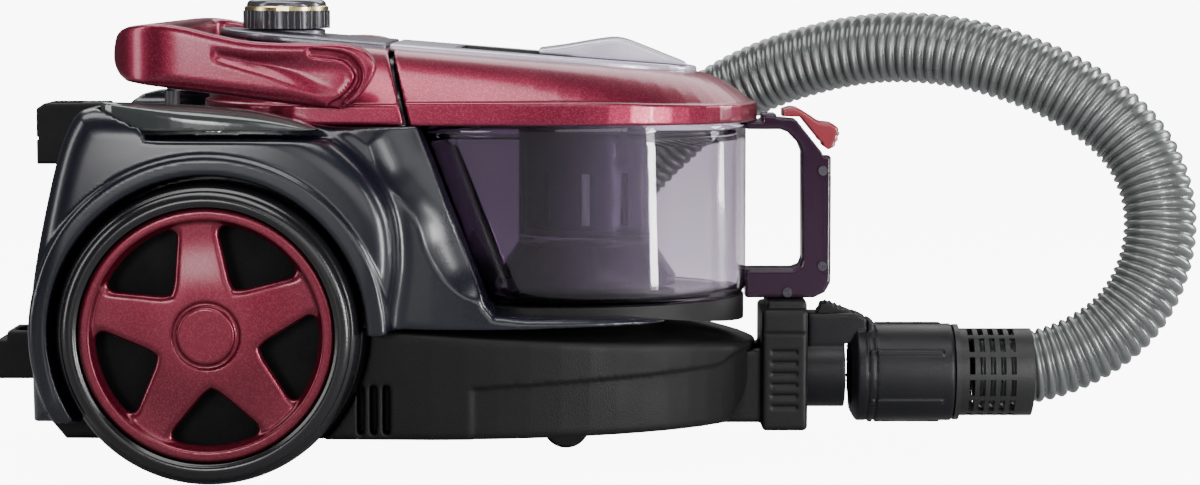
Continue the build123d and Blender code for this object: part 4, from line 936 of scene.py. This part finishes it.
# ------------------------------------------------------------------ hose inlet, connector and latch
def inlet_field(x, y, z):
    """Block under the bin that takes the hose, with a stepped top and side ribs."""
    side = np.abs(y)
    body = box_field(x, y, z, (146.2, 0, 46), (12.4, 30, 33), 2.6)
    tongue = box_field(x, y, z, (130, 0, 36.6), (28, 26, 19.6), 2.0)
    cap = box_field(x, y, z, (147.8, 0, 79.6), (10.8, 22, 3.2), 1.6)
    whole = either(either(body, tongue, 2.0), cap, 1.2)
    for z0 in (26, 32, 38, 44, 50, 56):
        rib = both(both(np.abs(z - z0) - 1.1, np.abs(x - 146) - 7), 29.1 - side)
        whole = both(whole, -rib, 0.5)
    seam = both(np.abs(z - 66) - 0.5, both(29.3 - side, np.abs(x - 146) - 14))
    return both(both(whole, -seam), -(np.hypot(y, z - DUCT_Z) - 19.2), 0.8)


def connector_field(x, y, z):
    """Turned connector with grip ribs and the latch housing on top."""
    r = np.hypot(y, z - DUCT_Z)
    radius = 19 + 7.7 * ease((x - 181) / 6.5) - 1.4 * ease((x - 238) / 1.6)
    tube = both(r - radius, both(134.6 - x, x - 239.6), 1.2)
    turn = np.arctan2(y, z - DUCT_Z)
    rib = both(np.abs(r * np.sin(turn * 3)) / 3 - 1.5, r - 27.6, 0.6)
    rib = both(rib, np.abs(x - 213) - 20, 1.2)
    rib = both(rib, 25 - r)
    house = box_field(x, y, z, (178.3, 0, 66), (18.6, 12, 9), 1.8)
    slope = both(house, (z - 75) + (x - 186) * 0.5, 1.2)
    whole = either(either(tube, rib, 0.5), slope, 1.6)
    well = box_field(x, y, z, (175, 0, 73), (10.5, 7.5, 7), 0.8)
    rings = both(both(np.abs(np.mod(x - 190, 4.2) - 2.1) - 0.5, both(188.5 - x, x - 199)), 26.0 - r)
    whole = both(both(whole, -well, 0.4), -rings, 0.4)
    bore = either(both(r - 20.4, 180 - x), r - 16)
    return both(whole, -bore, 0.5)


def latch_field(x, y, z):
    """Push button with thumb ridges."""
    side = latch_side(x, z)
    ridges = 0.4 * np.sin((x - 165) * 2.2) * ease((z - 76) / 2)
    return both(side + ridges, np.abs(y) - 7, 1.2)


latch_side = outline([(165, 70.3), (165, 76), (168, 80.6), (171.5, 80.6), (184.2, 75.4), (184.2, 70.3)])
upper_bracket_side = outline([(-258.5, 157), (-258.5, 187), (-254, 190), (-222, 190), (-222, 157)])


def rear_line(z):
    """Rear face of the body."""
    return -245 + 0.214 * (z - 77)


def upper_bracket_field(x, y, z):
    """Upper parking bracket, an open box for the floor tool's hook."""
    side = np.abs(y)
    body = both(both(upper_bracket_side(x, z), x - rear_line(z) + 0.1), side - 18, 1.8)
    slot = both(both(-252.5 - x, x + 235.5), both(side - 12, 162 - z), 1.0)
    notch = both(np.abs(z - 171) - 0.7, x + 257.2)
    return both(both(body, -slot, 0.6), -notch, 0.3)


def lower_bracket_field(x, y, z):
    """Lower parking bracket, with a slot for the floor tool's hook."""
    side = np.abs(y)
    body = both(both(np.abs(x + 264) - 18.5, np.abs(z - 53) - 13, 1.6), side - 18, 1.8)
    body = both(body, x + 245.2)
    slot = np.hypot(x + 265, np.maximum(side - 4, 0)) - 8.5
    step = both(61 - z, x + 276)
    return both(both(body, -both(slot, 44 - z), 0.6), -step, 0.5)


def make_shells():
    """Every piece that stands for a CAD node, on its body."""
    jobs = [
        ("gloss_upper_casing", upper_casing_field, (-250, -142, 28), (138, 142, 226), 1.5, casing_gloss,
         "body", "upper_casing"),
        ("matt_base", lower_casing_field, (-250, -116, 16), (138, 116, 94), 1.6, base_black, "body",
         "lower_casing"),
        ("crimson_rear_cover", rear_cover_field, (-172, -102, 179), (-44, 102, 234), 1.25, crimson_paint,
         "body",
         "rear_cover"),
        ("grey_top_panel", top_panel_field, (-163, -58, 216), (-58, 58, 234), 1.0, panel_paint, "body",
         "top_panel"),
        ("crimson_bin_lid", bin_lid_field, (-72, -100, 174), (136, 100, 226), 1.25, crimson_paint, "lid",
         "bin_lid"),
        ("pale_lid_panel", lid_panel_field, (-72, -58, 204), (102, 58, 226), 1.0, lid_panel_paint, "lid",
         "lid_panel"),
        ("pale_lid_lever", lid_lever_field, (10, -34, 205), (97, 34, 228), 0.9, lever_paint, "lid_lever",
         "lid_lever"),
        ("crimson_carry_handle", carry_handle_field, (-210, -120, 186), (-62, 120, 238), 1.2, crimson_paint,
         "carry_handle", "carry_handle"),
        ("smoky_bin_handle", bin_handle_field, (123, -13, 81), (175, 13, 187), 0.9, handle_smoke, "bin",
         "bin_handle"),
        ("crimson_trigger", trigger_field, (143, -12, 161), (179, 12, 190), 0.7, trigger_paint,
         "bin_trigger",
         "bin_trigger"),
        ("ribbed_inlet", inlet_field, (99, -33, 10), (162, 33, 85), 1.0, inlet_black, "body", "inlet_block"),
        ("grip_connector", connector_field, (132, -30, 11), (243, 30, 78), 0.9, connector_black, "body",
         "hose_connector"),
        ("ridged_latch", latch_field, (163, -9, 68), (187, 9, 83), 0.6, latch_black, "hose_latch",
         "hose_latch"),
        ("upper_bracket", upper_bracket_field, (-261, -20, 154), (-218, 20, 193), 0.9, bracket_black, "body",
         "parking_bracket_upper"),
        ("lower_bracket", lower_bracket_field, (-285, -20, 37), (-243, 20, 69), 0.9, bracket_black, "body",
         "parking_bracket_lower"),
    ]
    for name, side in (("power", -1), ("rewind", 1)):
        low, high = sorted((side * 105, side * 137))
        jobs.append((f"lens_{name}_pedal", pedal_field(side), (-210, low, 178), (-83, high, 200), 0.9,
                     pedal_gloss,
                     f"{name}_pedal", f"{name}_pedal"))
    for name, side in (("left", -1), ("right", 1)):
        low, high = sorted((side * 124, side * 144))
        jobs.append((f"spoked_hub_{name}", hub_cap_field(side), (-219, low, 11), (-86, high, 144), 0.9,
                     hub_paint,
                     f"wheel_{name}", f"hub_cap_{name}"))
        tyre = turned_piece(f"ribbed_tyre_{name}", [(side * y, r) for y, r in TYRE_PROFILE],
                            (WHEEL_X, 0, WHEEL_Z), "y", tyre_rubber, 180)
        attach(tyre, f"wheel_{name}")
        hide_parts(f"tyre_{name}")
    sloping = {"top_panel", "lid_panel", "lid_lever"}
    for name, field, low, high, step, material, body, node in jobs:
        if node in sloping:
            low = (low[0], low[1], low[2] + TOP_SLOPE * low[0] - 1)
            high = (high[0], high[1], high[2] + TOP_SLOPE * high[0] + 1)
        piece = skin(name, field, low, high, step, material, TOP_SLOPE if node in sloping else 0.0)
        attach(piece, body)
        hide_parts(node)
    cup = make_bin_cup()
    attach(cup, "bin")
    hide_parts("bin_cup")


# ------------------------------------------------------------------ hose
HOSE_ROUTE = [(252, 0, 41.6), (284.9, 0, 41.8), (325.1, 1, 59.6), (347, 4, 85.2), (356.5, 9, 119),
              (351.5, 16, 151.1), (333.1, 24, 178.2), (294.6, 34, 202.5), (242.7, 52, 218.4),
              (188.7, 76, 217.9), (122, 106, 195), (70, 126, 150), (24, 143, 97), (-28, 160, 48),
              (-98, 174, 20.4), (-212, 184, 20.4), (-290, 258, 20.4), (-294, 370, 20.4), (-216, 450, 20.4),
              (-106, 450, 20.4), (-30, 376, 24), (-20, 290, 34), (-42, 238, 52), (-86, 210, 62),
              (-134, 207, 62.5)]
RIB_PITCH, RINGS_PER_RIB = 5.6, 8


def hose_line():
    """Points along the smooth spline that has the route's points as its control points, evenly spaced."""
    curve = bpy.data.curves.new("hose_route", "CURVE")
    curve.dimensions = "3D"
    curve.resolution_u = 24
    spline = curve.splines.new("NURBS")
    spline.points.add(len(HOSE_ROUTE) - 1)
    for point, place in zip(spline.points, HOSE_ROUTE):
        point.co = (*place, 1)
    spline.order_u = 3
    spline.use_endpoint_u = True
    holder = bpy.data.objects.new("hose_route", curve)
    traced = bpy.data.meshes.new_from_object(holder)
    line = np.array([vertex.co for vertex in traced.vertices])
    bpy.data.objects.remove(holder)
    bpy.data.curves.remove(curve)
    bpy.data.meshes.remove(traced)
    far = np.concatenate([[0], np.cumsum(np.linalg.norm(np.diff(line, axis=0), axis=1))])
    count = round(far[-1] / RIB_PITCH) * RINGS_PER_RIB
    at = np.linspace(0, far[-1], count + 1)
    return np.stack([np.interp(at, far, line[:, k]) for k in range(3)], 1)


def frames_along(line):
    """Two directions across a line at each of its points, without twist."""
    ahead = np.gradient(line, axis=0)
    ahead /= np.linalg.norm(ahead, axis=1, keepdims=True)
    across = [np.array([0.0, 1.0, 0.0])]
    for d in ahead[1:]:
        a = across[-1] - d * (across[-1] @ d)
        across.append(a / np.linalg.norm(a))
    across = np.array(across)
    return across, np.cross(ahead, across)


def make_hose():
    """Ribbed hose: rounded ribs wound in a helix round its line."""
    line = hose_line()
    across, upward = frames_along(line)
    turn = np.linspace(0, 2 * math.pi, 40, endpoint=False)
    rings = []
    for i, (c, a, b) in enumerate(zip(line, across, upward)):
        phase = 2 * math.pi * i / RINGS_PER_RIB + turn
        rib = np.abs(np.sin(phase / 2)) ** 0.75
        radius = (17.2 + 2.8 * rib)[:, None]
        rings.append(c + radius * (np.cos(turn)[:, None] * a + np.sin(turn)[:, None] * b))
    hose = rings_piece("ribbed_hose", rings, hose_silver)
    outward(hose)
    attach(hose, "body")
    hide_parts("hose")
    return hose, line


hose_piece, hose_points = make_hose()


# ------------------------------------------------------------------ CAD nodes that stay as they are
LOOKS = {
    "knob_drum": "knob_black", "knob_ring": "ring_gold", "knob_cap": "knob_dome",
    "handle_rests": "rest_grey", "handle_pins": "axle_steel", "lid_tray": "tray_grey",
    "bin_seat": "seat_black", "bin_seal": "seal_rubber", "handle_insert": "insert_purple",
    "handle_screws": "screw_dark", "casing_screws": "screw_steel",
    "cyclone_cylinder": "cyclone_smoke", "cyclone_skirt": "skirt_smoke", "mesh_filter": "mesh_steel",
    "connector_ring": "latch_black", "hose_cuff": "cuff_black", "hose_collar": "cuff_black",
    "hose_handle": "connector_black", "air_slider": "latch_black", "cable_outlet": "seal_rubber",
    "wheel_disc_left": "disc_black", "wheel_disc_right": "disc_black",
    "axle_left": "axle_steel", "axle_right": "axle_steel", "caster_fork": "inlet_black",
    "caster_axle": "axle_steel", "caster_wheel": "caster_rubber",
    "power_spring": "spring_steel", "rewind_spring": "spring_steel", "reel_axle": "axle_steel",
    "cord_reel": "reel_plastic", "motor_housing": "motor_shell", "motor": "motor_copper",
    "impeller": "impeller_metal", "pre_filter": "filter_foam", "exhaust_filter": "filter_pleats",
    "control_board": "board_green",
}


def dress_cad_nodes():
    """Give each CAD node that stays its material."""
    for node, look in LOOKS.items():
        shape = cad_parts[node]
        shape.data.materials.clear()
        shape.data.materials.append(bpy.data.materials[look])


make_shells()
dress_cad_nodes()
